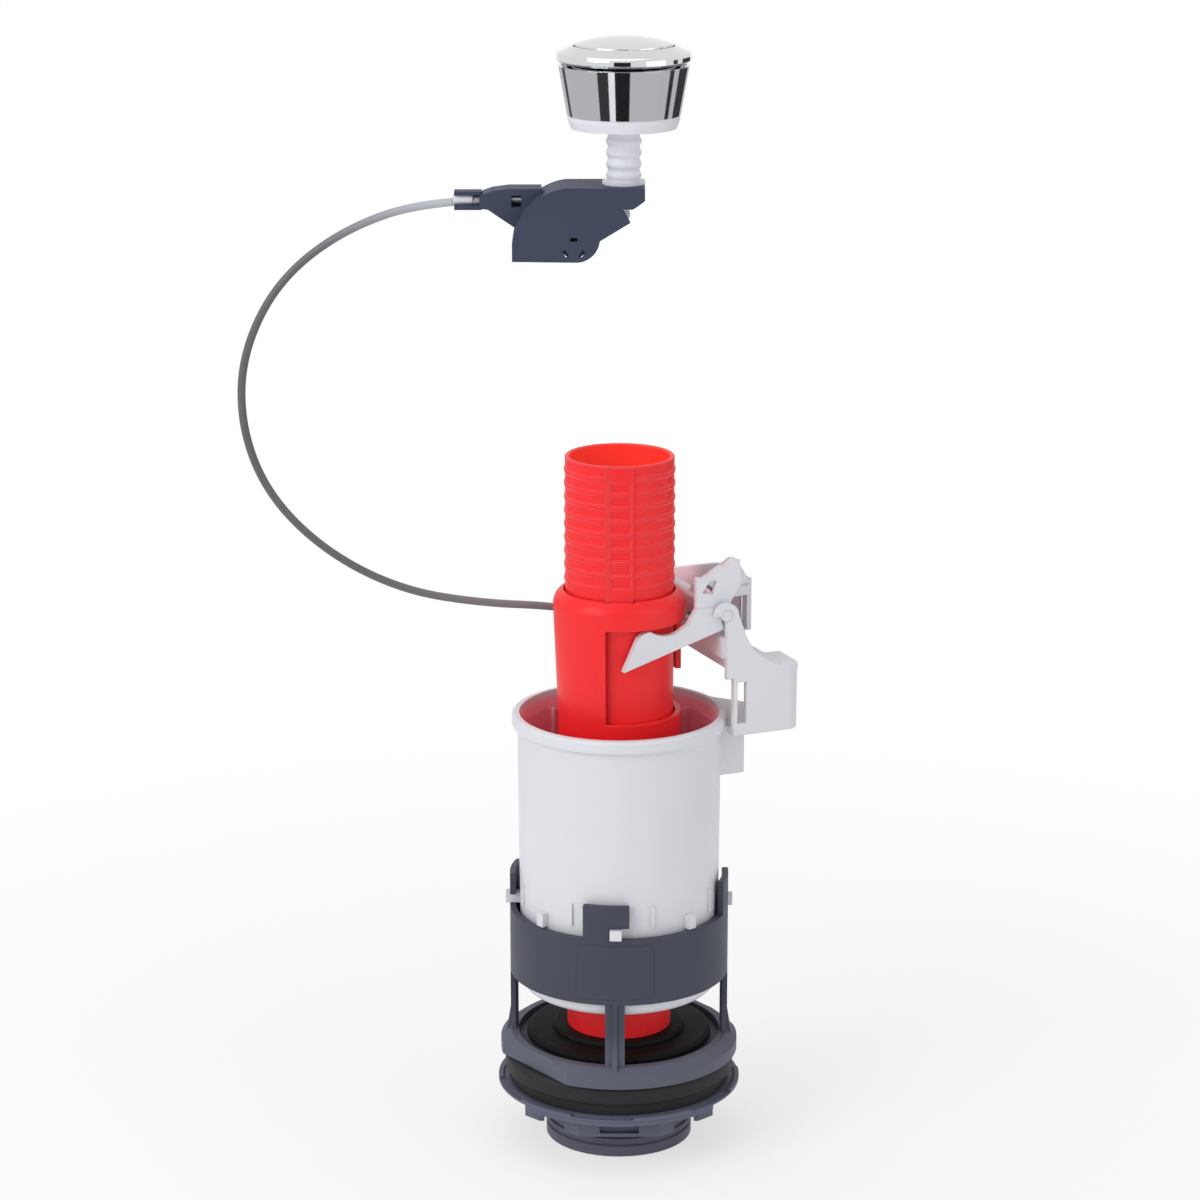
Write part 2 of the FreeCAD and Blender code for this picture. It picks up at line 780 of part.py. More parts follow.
def make_cup():
    """Open cup round the valve tube, with bayonet studs below and the bracket's socket on its side."""
    body = new_body("cup")
    corner_radius = S.cup_low_radius - S.cup_corner
    corner_top = S.cup_bottom + S.cup_corner
    inner_corner = S.cup_corner - S.cup_wall
    rim_bottom = S.cup_top - S.rim_height
    wall_top = S.cup_high_radius - S.cup_wall
    revolve(body, "wall", [
        (guide_radius, S.cup_bottom),
        (corner_radius, S.cup_bottom),
        (S.cup_low_radius, corner_top, S.cup_corner),
        (S.cup_high_radius, rim_bottom),
        (S.rim_radius - S.rim_round, rim_bottom),
        (S.rim_radius, rim_bottom + S.rim_round, S.rim_round),
        (S.rim_radius, S.cup_top - S.rim_round),
        (S.rim_radius - S.rim_round, S.cup_top, S.rim_round),
        (S.rim_bore_radius, S.cup_top),
        (wall_top, rim_bottom - S.rim_round),
        (S.cup_low_radius - S.cup_wall, corner_top),
        (corner_radius, S.cup_bottom + S.cup_wall, -inner_corner),
        (guide_radius + S.guide_wall, S.cup_bottom + S.cup_wall),
        (guide_radius + S.guide_wall, S.cup_bottom + S.guide_height),
        (guide_radius, S.cup_bottom + S.guide_height),
    ])
    root_radius = S.cup_low_radius - S.cup_wall / 2
    stud_middle = S.leg_angle + S.stud_centre
    stud = ring_piece(
        body, "stud", root_radius, S.stud_reach, stud_middle - S.stud_half_angle,
        stud_middle + S.stud_half_angle, stud_bottom, stud_bottom + S.stud_height,
    )
    around(body, "studs", [stud], LEGS)
    lug_middle = S.leg_angle + 45
    lug = ring_piece(
        body, "rest_lug", root_radius, S.lug_reach, lug_middle - S.lug_half_angle,
        lug_middle + S.lug_half_angle, stud_bottom, stud_bottom + S.lug_height,
    )
    around(body, "rest_lugs", [lug], LEGS)
    for side, sign in (("left", -1), ("right", 1)):
        middle = S.leg_angle + S.cup_rib_centre + S.cup_rib_spread * sign
        rib = ring_piece(
            body, side + "_rib", root_radius, S.cup_rib_reach, middle - S.cup_rib_half_angle,
            middle + S.cup_rib_half_angle, S.cup_rib_bottom, S.cup_rib_bottom + S.cup_rib_height,
        )
        around(body, side + "_ribs", [rib], LEGS)
    inner_rib = ring_piece(
        body, "inner_rib", S.inner_rib_radius, root_radius, 45 - S.inner_rib_half_angle, 45 + S.inner_rib_half_angle,
        S.inner_rib_bottom, rim_bottom - S.rim_round,
    )
    around(body, "inner_ribs", [inner_rib], LEGS)
    half = S.socket_width / 2
    pad(
        body, "socket", "XY", turned_box(S.socket_inner, S.socket_reach, -half, half, S.side_angle),
        S.socket_bottom, S.foot_bottom,
    )
    peg_half = S.peg_width / 2 + S.fit_gap
    slot = turned_box(
        S.tongue_left - S.fit_gap, S.tongue_left + S.peg_wall + S.fit_gap, -peg_half, peg_half, S.side_angle
    )
    cut(body, "socket_slot", "XY", slot, S.socket_bottom + S.socket_wall, S.foot_bottom + 1)
    return body


def make_lift_tube():
    """Red valve tube: spigot for the seal, guide tube, wide part, open shell and lifting collar."""
    body = new_body("lift_tube")
    wide_radius = wide_bore + S.wide_wall
    tube_bore = S.tube_radius - S.tube_wall
    spigot_bore = S.spigot_radius - S.spigot_wall
    step_top = S.step_bottom + S.step_height
    revolve(body, "lower_tube", [
        (spigot_bore, S.spigot_bottom),
        (S.spigot_radius, S.spigot_bottom),
        (S.spigot_radius, shoulder),
        (S.tube_radius, shoulder),
        (S.tube_radius, S.step_bottom),
        (wide_radius, step_top),
        (wide_radius, S.ledge_top - S.ledge_height),
        (wide_radius + S.ledge_width, S.ledge_top - S.ledge_height),
        (wide_radius + S.ledge_width, S.ledge_top),
        (wide_bore, S.ledge_top),
        (wide_bore, step_top + S.tube_wall / 2),
        (tube_bore, S.step_bottom + S.tube_wall / 2),
        (tube_bore, shoulder + S.tube_wall),
        (spigot_bore, shoulder),
    ])
    middle = S.side_angle + 180
    ring_piece(
        body, "back_shell", S.collar_radius - S.shell_wall, S.collar_radius, middle - S.shell_half_angle,
        middle + S.shell_half_angle, S.ledge_top - 1, collar_bottom + 1,
    )
    revolve(body, "collar", [
        (wide_bore, collar_bottom),
        (S.collar_radius, collar_bottom),
        (S.collar_radius, collar_bottom + S.collar_edge),
        (wide_bore + S.collar_lip, collar_top, S.dome_radius),
        (wide_bore, collar_top),
    ])
    key_half = S.ladder_reach * sine(S.ladder_half_angle) + S.key_clearance
    key_out = S.ladder_reach + S.key_clearance
    cut(
        body, "keyway", "XY", box_corners(-key_half, key_half, -key_out, -(wide_bore - 2)),
        collar_bottom - 1, collar_top + 1,
    )
    half = S.tongue_width / 2
    pad(
        body, "tongue", "XY", turned_box(wide_bore + S.slide_gap, S.tongue_reach, -half, half, S.side_angle),
        tongue_bottom, collar_bottom + 1,
    )
    return body


def make_overflow_tube():
    """Red overflow tube that slides in the collar, with grip ridges and a ladder of stops."""
    body = new_body("overflow_tube")
    inner = S.overflow_radius - S.overflow_wall
    profile = [(inner, S.overflow_bottom), (S.overflow_radius, S.overflow_bottom)]
    for turn in range(RIDGES):
        low = S.ridge_start + S.ridge_pitch * turn
        profile += [
            (S.overflow_radius, low),
            (S.ridge_radius, low + S.ridge_slope),
            (S.ridge_radius, low + S.ridge_height - S.ridge_slope),
            (S.overflow_radius, low + S.ridge_height),
        ]
    rim_low = S.overflow_top - S.overflow_rim
    profile += [
        (S.overflow_radius, rim_low),
        (S.ridge_radius, rim_low + S.ridge_slope),
        (S.ridge_radius, S.overflow_top),
        (inner, S.overflow_top),
    ]
    revolve(body, "tube", profile)
    ring_piece(
        body, "ladder", S.overflow_radius - S.overflow_wall / 2, S.ladder_reach, -90 - S.ladder_half_angle,
        -90 + S.ladder_half_angle, S.ladder_bottom, rim_low,
    )
    half = S.ladder_window_width / 2
    low = S.ridge_start + S.ridge_height
    window = cut(
        body, "ladder_window", "XZ", box_corners(-half, half, low, low + S.ladder_window_height),
        S.ladder_reach - S.ladder_window_depth, S.ladder_reach + 1,
    )
    rungs = body.newObject("PartDesign::LinearPattern", "ladder_windows")
    rungs.Originals = [window]
    for feature in body.Origin.OriginFeatures:
        if feature.Role == "Z_Axis":
            rungs.Direction = (feature, [""])
    rungs.Occurrences = RIDGES - 1
    bind(rungs, "Length", S.ridge_pitch * (RIDGES - 2))
    body.Tip = rungs
    doc.recompute()
    return body


def make_valve_seal():
    body = new_body("valve_seal")
    revolve(body, "disc", [
        (spigot_clear, seal_bottom),
        (S.seal_radius, seal_bottom),
        (S.seal_radius, seal_top - S.seal_bevel),
        (S.seal_radius - S.seal_bevel * 2, seal_top),
        (spigot_clear, seal_top),
    ])
    return body


def make_seal_retainer():
    body = new_body("seal_retainer")
    low = seal_top + S.fit_gap
    revolve(body, "ring", [
        (S.tube_radius + S.fit_gap, low),
        (S.retainer_radius, low),
        (S.retainer_radius, low + S.retainer_height / 2),
        (S.retainer_radius - S.retainer_height / 2, low + S.retainer_height),
        (S.tube_radius + S.fit_gap, low + S.retainer_height),
    ])
    return body


def make_seal_clip():
    """Clip under the seal, with fins that guide the valve in the outlet."""
    body = new_body("seal_clip")
    top = seal_bottom - S.fit_gap
    low = top - S.clip_height
    revolve(body, "ring", box_corners(spigot_clear, S.clip_radius, low, top))
    half = S.fin_width / 2
    fin = pad(
        body, "fin", "XY", box_corners(S.fin_inner, S.fin_reach, -half, half),
        low - S.fin_length, low + S.clip_height / 2,
    )
    around(body, "fins", [fin], GUIDE_FINS)
    return body


def make_lever_bracket():
    """White side bracket: two ears, the chamber with its saddle, the far wall and the cable's seat."""
    body = new_body("lever_bracket", turned=S.side_angle)
    reach, height = S.pivot_reach, pivot_height
    corner = S.chamber_right - S.chamber_round
    pad(body, "front_ear", "XZ", [
        (S.strip_left, S.foot_bottom),
        (corner, S.foot_bottom),
        (corner, saddle_end_height),
        (S.saddle_left, saddle_high, -S.saddle_radius),
        (reach + S.hook_radius, height),
        (reach, height + S.hook_radius, S.hook_radius),
        (reach - S.hook_radius, height, S.hook_radius),
        (reach - trunnion_hole, height),
        (reach, height + trunnion_hole, -trunnion_hole),
        (reach + trunnion_hole, height, -trunnion_hole),
        (reach, height - trunnion_hole, -trunnion_hole),
        (S.plate_left, plate_notch),
        (S.strip_left, plate_notch),
    ], ear_inside, S.ear_outside)
    cut(
        body, "ear_slot", "XZ", box_corners(S.strip_right, S.slot_right, S.slot_bottom, slot_top),
        ear_inside - 1, S.ear_outside + 1,
    )
    wall = S.ear_wall
    middle = S.ear_outside - S.chamber_round
    pad(body, "chamber_end", "XY", [
        (S.chamber_right - wall, -middle),
        (corner, -ear_inside, -(S.chamber_round - wall)),
        (corner, -S.ear_outside),
        (S.chamber_right, -middle, S.chamber_round),
        (S.chamber_right, -S.chamber_back),
        (S.chamber_right - wall, -S.chamber_back),
    ], S.foot_bottom, saddle_end_height)
    inner_saddle = S.saddle_radius + S.saddle_wall
    pad(body, "saddle", "XZ", [
        (S.saddle_left, saddle_high - S.saddle_wall),
        (corner, saddle_end_height - S.saddle_wall, inner_saddle),
        (S.chamber_right - wall / 2, saddle_end_height - S.saddle_wall),
        (S.chamber_right - wall / 2, saddle_end_height),
        (corner, saddle_end_height),
        (S.saddle_left, saddle_high, -S.saddle_radius),
    ], S.chamber_back, ear_inside + wall / 2)
    pad(body, "foot", "XY", [
        (S.strip_left, -S.ear_outside),
        (corner, -S.ear_outside),
        (S.chamber_right, -middle, S.chamber_round),
        (S.chamber_right, -S.chamber_back),
        (S.tongue_left + S.peg_wall, S.foot_back),
        (S.strip_left, S.foot_back),
    ], S.foot_bottom, foot_top)
    bore(
        body, "rim_relief", "XY", (0, 0), S.rim_radius + S.slide_gap, S.foot_bottom - 1, foot_top + 1
    )
    peg_half = S.peg_width / 2
    pad(
        body, "peg", "XY",
        box_corners(S.tongue_left, S.tongue_left + S.peg_wall, -peg_half, peg_half),
        S.peg_bottom, S.foot_bottom + 1,
    )
    overlap = S.channel_wall / 4
    root_left = S.cross_wall_root
    cross_wall_shelf = cross_wall_bottom + S.cross_wall
    pad(body, "cross_wall", "XZ", [
        (S.cross_wall_left, cross_wall_bottom),
        (root_left, cross_wall_bottom),
        (root_left, deck_bottom),
        (root_left + S.cross_wall, deck_bottom),
        (root_left + S.cross_wall, cross_wall_shelf),
        (S.cross_wall_left + S.cross_wall, cross_wall_shelf),
        (S.cross_wall_left + S.cross_wall, cross_wall_top),
        (S.cross_wall_left, cross_wall_top),
    ], -(channel_inside + overlap), ear_inside + overlap)
    wall_left = wall_right - S.channel_wall
    bend = S.far_wall_round
    pad(body, "far_wall", "XY", [
        (S.channel_start, channel_inside),
        (wall_right - bend, channel_inside),
        (wall_left, channel_outside - bend, -(bend - S.channel_wall)),
        (wall_left, 0),
        (wall_right, 0),
        (wall_right, channel_outside - bend),
        (wall_right - bend, channel_outside, bend),
        (S.channel_start, channel_outside),
    ], deck_bottom, far_wall_top)
    bore(
        body, "rear_bearing", "XZ", (reach, height), trunnion_hole, -(channel_outside + 1), -(channel_inside - 1)
    )
    pad(
        body, "deck", "XY", box_corners(root_left, wall_right, -(ear_inside + overlap), channel_inside + overlap),
        deck_bottom, deck_top,
    )
    block_half = S.ferrule_radius + S.ear_wall
    pad(
        body, "ferrule_seat", "XY",
        box_corners(wire_drop - block_half, wall_right, S.seat_block_front, S.seat_block_back),
        deck_bottom, elbow_height + block_half,
    )
    ferrule_front = S.seat_block_front + 1
    bore(
        body, "ferrule_bore", "XZ", (wire_drop, elbow_height), S.ferrule_radius + S.fit_gap,
        -(S.seat_block_back + 1), -ferrule_front,
    )
    bore(
        body, "wire_hole", "XZ", (wire_drop, elbow_height), S.wire_radius + S.slide_gap,
        -(ferrule_front + 1), -(S.seat_block_front - 1),
    )
    saddle_reach = S.elbow_radius - S.wire_radius - S.slide_gap * 2
    elbow_top = elbow_height + S.elbow_radius
    pad(body, "wire_saddle", "YZ", [
        (S.seat_block_front + 0.5, elbow_top - saddle_reach),
        (S.elbow_radius, elbow_top - saddle_reach),
        (S.elbow_radius - saddle_reach, elbow_top, -saddle_reach),
        (S.seat_block_front + 0.5, elbow_top),
    ][::-1], wire_drop - 1, wire_drop + 1)
    cut(
        body, "side_wall_relief", "XY", box_corners(wall_left - 1, wall_right + 1, -1, S.seat_block_front),
        deck_top, deck_top + S.side_wall_relief,
    )
    bend_x = S.channel_bend_start
    slot_half = S.sheath_radius + S.slide_gap * 2
    cut(
        body, "sheath_slot", "XY",
        box_corners(bend_x, bend_x + S.far_slot_length, channel_inside - 1, channel_outside + 1),
        elbow_height - slot_half, elbow_height + slot_half,
    )
    shelf_out = sheath_line + S.sheath_radius
    shelf_top = elbow_height - S.sheath_radius - S.slide_gap
    pad(
        body, "sheath_shelf", "XY",
        box_corners(S.channel_start + 14, bend_x, channel_outside - 1, shelf_out),
        shelf_top - S.channel_wall, shelf_top,
    )
    tab_low = elbow_height + S.sheath_radius + S.slide_gap
    for name, left in (("first_tab", S.channel_start + 15), ("second_tab", bend_x - 4)):
        pad(
            body, name, "XY", box_corners(left, left + 4, channel_outside - 1, shelf_out),
            tab_low, tab_low + S.channel_wall,
        )
    return body


def make_lift_lever():
    """Fork lever: two arms under the collar, cheeks, a hub and the grooved cable sector."""
    body = new_body("lift_lever", turned=S.side_angle)
    reach, height = S.pivot_reach, pivot_height
    pad_disc(
        body, "hub", "XZ", (reach, height), S.hub_radius, -(S.arm_inside + 1), S.arm_inside + 1
    )
    arm = [
        (reach - 43.0, height - 19.5),
        (reach + 0.1, height - 6.3),
        (reach - 2.3, height + 0.3),
        (reach - 2.3, height + 3.0),
        (reach - 11.7, height + 3.0),
        (reach - 13.0, height + 1.0),
        (reach - 15.5, height - 3.0),
        (reach - 20.0, height - 5.6),
        (reach - 24.3, height - 6.4, -9.0),
        (reach - 31.5, height - 4.1, -12.0),
        (reach - 36.9, height - 6.4, 6.0),
    ]
    cheek = [
        (reach - 11.7, height + 2.0),
        (reach - 3.0, height + 0.5),
        (reach + 2.5, height + 0.5),
        (reach + 3.0, height + 3.6),
        (reach + 4.4, height + 6.5),
        (reach + 6.0, height + 9.0),
        (reach + 7.6, height + 11.3),
        (reach + 7.5, height + 15.5),
        (reach + 7.1, height + 21.2),
        (reach + 5.4, height + 21.1),
        (reach + 5.1, height + 22.1),
        (reach + 4.1, height + 22.2),
        (reach + 0.3, height + 18.5),
        (reach - 0.9, height + 19.3),
        (reach - 2.9, height + 18.7),
        (reach - 5.6, height + 16.4),
        (reach - 8.5, height + 15.1),
        (reach - 11.7, height + 15.8),
    ]
    cheek_window = [
        (reach - 6.0, height + 13.9),
        (reach - 9.2, height + 9.0),
        (reach - 4.5, height + 8.2),
        (reach - 2.9, height + 13.6),
    ]
    cheek_outside = S.arm_inside + S.cheek_wall
    for side, sign in (("front", 1), ("rear", -1)):
        start, end = (S.arm_inside, arm_outside) if sign > 0 else (-arm_outside, -S.arm_inside)
        pad(body, side + "_arm", "XZ", arm, start, end)
        tip = S.ear_outside - S.rest_gap
        start, end = (S.arm_inside, tip) if sign > 0 else (-tip, -S.arm_inside)
        pad_disc(body, side + "_trunnion", "XZ", (reach, height), S.trunnion_radius, start, end)
    pad(body, "cheek", "XZ", cheek, S.arm_inside, cheek_outside)
    cut(body, "cheek_window", "XZ", cheek_window, S.arm_inside - 1, cheek_outside + 1)
    centre = (reach, height)
    half = S.sector_wall / 2
    rim = S.sector_radius
    pad(body, "sector", "XZ", [
        (reach, height - 1),
        (reach + 2, height - 1),
        (*polar(rim, S.sector_start, centre),),
        (*polar(rim, S.sector_end, centre), rim),
        (reach - 2, height + 2),
    ], -half, half)
    groove_half = S.groove_width / 2
    floor = S.sector_radius - S.groove_depth
    cut(body, "wire_groove", "XZ", [
        (*polar(floor, S.sector_start - 5, centre), -floor),
        polar(rim + 2, S.sector_start - 5, centre),
        (*polar(rim + 2, S.nipple_angle + 1, centre), rim + 2),
        polar(floor, S.nipple_angle + 1, centre),
    ], -groove_half, groove_half)
    bore(
        body, "nipple_seat", "XZ", polar(floor + S.wire_radius, S.nipple_angle, centre),
        S.nipple_radius + S.fit_gap, -(half + 1), half + 1,
    )
    pad(body, "cross_web", "XZ", [
        (reach - 3.6, height - 1),
        (reach - 1.6, height - 1),
        (reach + 4.5, height + 14.0),
        (reach + 2.5, height + 14.0),
    ], -half, S.arm_inside + S.cheek_wall / 4)
    return body


def local_point(reach, front, height):
    """A point of the side bracket's frame, in the whole object's frame."""
    angle = math.radians(S.side_angle.value)
    x = reach * math.cos(angle) + front * math.sin(angle)
    y = reach * math.sin(angle) - front * math.cos(angle)
    return FreeCAD.Vector(x, y, height)


def rounded_path(points):
    """Straight runs joined by tangent arcs, each as large as its two runs allow."""
    share = 0.45
    edges = []
    start = points[0]
    radii = []
    for before, corner, after in zip(points, points[1:], points[2:]):
        back = (before - corner).normalize()
        ahead = (after - corner).normalize()
        shorter = min((before - corner).Length, (after - corner).Length)
        trim = share * shorter
        half_turn = (math.pi - back.getAngle(ahead)) / 2
        radius = trim / math.tan(half_turn)
        radii.append(round(radius, 1))
        enter = corner + back * trim
        leave = corner + ahead * trim
        inward = (back + ahead).normalize()
        middle = corner + inward * (radius / math.cos(half_turn) - radius)
        edges.append(Part.LineSegment(start, enter).toShape())
        edges.append(Part.Arc(enter, middle, leave).toShape())
        start = leave
    edges.append(Part.LineSegment(start, points[-1]).toShape())
    return Part.Wire(edges), radii


def round_tube(path, radius):
    edge = path.Edges[0]
    start = edge.valueAt(edge.FirstParameter)
    section = Part.Wire(Part.makeCircle(radius, start, edge.tangentAt(edge.FirstParameter)))
    return path.makePipeShell([section], True, True)


def feature(label, shape):
    item = doc.addObject("Part::Feature", label)
    item.Label = label
    item.Shape = shape
    item.Placement = FreeCAD.Placement()
    return item


def cable_points():
    points = [FreeCAD.Vector(*corner) for corner in CABLE_ROUTE]
    line, level = sheath_line.value, elbow_height.value
    bend = sheath_bend.value
    corner = bend * 2 * math.tan(math.radians(22.5)) * math.sin(math.radians(45))
    points.append(local_point(9.0, -(line + 0.9), level + 1.4))
    points.append(local_point(26.0, -line, level))
    points.append(local_point(wire_drop.value - corner, -line, level))
    points.append(local_point(wire_drop.value, -(line - corner), level))
    points.append(local_point(wire_drop.value, -(S.seat_block_front.value + 2.2), level))
    return points


def make_cable_sheath():
    path, radii = rounded_path(cable_points())
    shape = round_tube(path, S.sheath_radius.value)
    expected = math.pi * S.sheath_radius.value ** 2 * path.Length
    print("cable sheath", round(path.Length, 1), "mm long, bend radii", radii)
    print("sheath volume against section times length", round(shape.Volume / expected, 4))
    return feature("cable_sheath", shape)


def make_ferrule(label, end, direction):
    """Cap on the end of the sheath: a sleeve over it and a floor with a hole for the wire."""
    floor = 1.0
    sleeve = S.ferrule_length.value
    start = end - direction * (sleeve - floor)
    shape = Part.makeCylinder(S.ferrule_radius.value, sleeve, start, direction)
    room = Part.makeCylinder((S.sheath_radius + S.fit_gap).value, sleeve - floor, start, direction)
    hole = Part.makeCylinder((S.wire_radius + S.slide_gap / 2).value, sleeve, start, direction)
    return feature(label, shape.cut(room).cut(hole).removeSplitter())


def make_wires():
    """The inner wire where it shows: to the rocker, up to the sector and round its rim."""
    points = cable_points()
    height = wire_height.value
    start = points[0]
    stop = FreeCAD.Vector(S.rocker_offset.value, 0, height)
    upper = Part.Wire([Part.LineSegment(start, stop).toShape()])
    made = [feature("upper_wire", round_tube(upper, S.wire_radius.value))]
    drop, level, bend = wire_drop.value, elbow_height.value, S.elbow_radius.value
    middle = bend * math.sqrt(0.5)
    run = Part.Wire([
        Part.LineSegment(points[-1], local_point(drop, -bend, level)).toShape(),
        Part.Arc(
            local_point(drop, -bend, level),
            local_point(drop, middle - bend, level + bend - middle),
            local_point(drop, 0, level + bend),
        ).toShape(),
        Part.LineSegment(local_point(drop, 0, level + bend), local_point(drop, 0, pivot_height.value)).toShape(),
    ])
    made.append(feature("lower_wire_run", round_tube(run, S.wire_radius.value)))
    radius = (S.sector_radius - S.groove_depth + S.wire_radius).value
    reach, top = S.pivot_reach.value, pivot_height.value
    stops = []
    for share in (0.0, 0.5, 1.0):
        angle = math.radians((S.nipple_angle.value - 5.0) * share)
        stops.append(local_point(reach + radius * math.cos(angle), 0, top + radius * math.sin(angle)))
    wrap = Part.Wire([Part.Arc(*stops).toShape()])
    made.append(feature("lower_wire_wrap", round_tube(wrap, S.wire_radius.value)))
    return made


def make_nipples():
    """Barrel nipples at the two ends of the inner wire."""
    radius, length = S.nipple_radius.value, S.nipple_length.value
    front = FreeCAD.Vector(0, -1, 0)
    angle = math.radians(S.rocker_nipple_angle.value)
    ring = S.rocker_groove_radius.value
    centre = FreeCAD.Vector(
        S.rocker_offset.value + ring * math.cos(angle), length / 2, S.rocker_height.value + ring * math.sin(angle)
    )
    upper = feature("upper_nipple", Part.makeCylinder(radius, length, centre, front))
    turn = math.radians(S.side_angle.value)
    outward = FreeCAD.Vector(math.sin(turn), -math.cos(turn), 0)
    hold = math.radians(S.nipple_angle.value)
    ring = (S.sector_radius - S.groove_depth + S.wire_radius).value
    seat = local_point(
        S.pivot_reach.value + ring * math.cos(hold), -length / 2, pivot_height.value + ring * math.sin(hold)
    )
    lower = feature("lower_nipple", Part.makeCylinder(radius, length, seat, outward))
    return [upper, lower]


def make_actuator_housing():
    """Housing under the button: two plates joined along their round back, and the cable's nose."""
    body = new_body("actuator_housing")
    px, pz = S.rocker_offset, S.rocker_height
    arc = S.housing_arc
    top = housing_top
    pad(body, "shell", "XZ", [
        (px - arc, pz - 4.9),
        (px + 0.9, pz - 5.2),
        (px + 10.0, pz + 3.1, 9.3),
        (px + 21.7, pz + 10.2),
        (px + 18.6, pz + 15.6, 24.2),
        (px + 22.4, pz + 15.3),
        (S.housing_right - 3.4, pz + 16.1),
        (S.housing_right, pz + 18.6),
        (S.housing_right, top),
        (px - 3.2, top),
        (px - arc, pz + 2.2, arc),
    ], -housing_half, housing_half)
    half = S.nose_width / 2
    line = wire_height
    pad(body, "nose", "XZ", [
        (px - 36.4, line - 2.9),
        (px - 33.2, line - 3.2),
        (px - 22.7, line - 10.3),
        (px - 12.6, line - 2.0),
        (px - 12.6, line + 4.8),
        (px - 25.3, line + 4.8),
        (px - 31.8, line + 3.9),
        (px - 35.1, line + 2.7),
        (px - 36.4, line + 1.7),
    ], -half, half)
    wall = S.housing_wall
    cavity_arc = arc - wall
    cut(body, "cavity", "XZ", [
        (px - cavity_arc, pz - 6),
        (px + 24, pz - 6),
        (px + 24, pz + 16.4),
        (S.housing_right - wall, pz + 18.6),
        (S.housing_right - wall, top - wall),
        (px - 2.9, top - wall),
        (px - cavity_arc, pz + 1.0, cavity_arc + 0.2),
    ], -housing_inside, housing_inside)
    bore(body, "sheath_bore", "YZ", (0, line), S.sheath_radius + S.slide_gap, px - 37, px - 20)
    ferrule_end = S.ferrule_radius + S.fit_gap
    bore(body, "ferrule_bore", "YZ", (0, line), ferrule_end, px - 26.2, px - 18.6)
    bore(body, "wire_hole", "YZ", (0, line), S.wire_radius + S.slide_gap, px - 19, px - 12)
    cut(
        body, "ferrule_window", "XZ", box_corners(px - 24.0, px - 20.3, line - 2.3, line + 2.2), -(half + 1), half + 1
    )
    bore(
        body, "stem_hole", "XY", (S.button_offset, 0), S.stem_spigot_radius + S.fit_gap, top - wall - 1, top + 1
    )
    bearing = housing_inside + wall * 0.6
    bore(body, "bearings", "XZ", (px, pz), S.trunnion_radius + S.fit_gap, -bearing, bearing)
    for name, angle in (("top_slot", 90), ("left_slot", 210), ("right_slot", 330)):
        corners = []
        for x, y in box_corners(-1.4, 1.4, 3.0, 4.4):
            turn = size(angle - 90)
            corners.append((px + x * cosine(turn) - y * sine(turn), pz + x * sine(turn) + y * cosine(turn)))
        cut(body, name, "XZ", corners, -(housing_half + 1), housing_half + 1)
    clip_half = S.sheath_radius + S.ear_wall * 0.6
    clip_inner = S.sheath_radius + S.slide_gap
    pad(body, "cable_clip", "YZ", [
        (-clip_half, line - clip_inner - 1.9),
        (clip_half, line - clip_inner - 1.9),
        (clip_half, line + clip_inner + 1.5),
        (-clip_half, line + clip_inner + 1.5),
        (-clip_half, line + clip_inner),
        (clip_inner, line + clip_inner),
        (clip_inner, line - clip_inner),
        (-clip_half, line - clip_inner),
    ], px - 46.2, px - 35.6)
    return body


def make_actuator_rocker():
    """Rocker that the button turns: a grooved quarter wheel pulls the wire, its nose takes the push."""
    body = new_body("actuator_rocker")
    px, pz = S.rocker_offset, S.rocker_height
    half = S.rocker_width / 2
    centre = (px, pz)
    rim = S.rocker_rim_radius
    tip_x, tip_z = px + S.rocker_nose_reach, pz + S.rocker_nose_rise
    pad_disc(body, "hub", "XZ", centre, S.rocker_hub_radius, -half, half)
    pad(body, "quarter_wheel", "XZ", [
        (px - 1, pz - 1),
        (px + 2, pz),
        (*polar(rim, S.rocker_wheel_start, centre),),
        (*polar(rim, S.rocker_wheel_end, centre), rim),
    ], -half, half)
    pad(body, "arm", "XZ", [
        (px + 1, pz - 4),
        (tip_x, tip_z - S.rocker_nose_radius),
        (tip_x + S.rocker_nose_radius, tip_z, S.rocker_nose_radius),
        (tip_x, tip_z + S.rocker_nose_radius, S.rocker_nose_radius),
        (px + 3, pz + 9),
    ], -half, half)
    groove = S.rocker_groove_radius - S.wire_radius - S.fit_gap
    groove_half = S.groove_width / 2
    cut(body, "wire_groove", "XZ", [
        (*polar(groove, S.rocker_groove_start, centre), -groove),
        polar(rim + 2, S.rocker_groove_start, centre),
        (*polar(rim + 2, S.rocker_groove_end, centre), rim + 2),
        polar(groove, S.rocker_groove_end, centre),
    ], -groove_half, groove_half)
    bore(
        body, "nipple_seat", "XZ", polar(S.rocker_groove_radius, S.rocker_nipple_angle, centre),
        S.nipple_radius + S.fit_gap, -(half + 1), half + 1,
    )
    reach = housing_inside + S.housing_wall * 0.4
    pad_disc(body, "trunnions", "XZ", centre, S.trunnion_radius, -reach, reach)
    return body


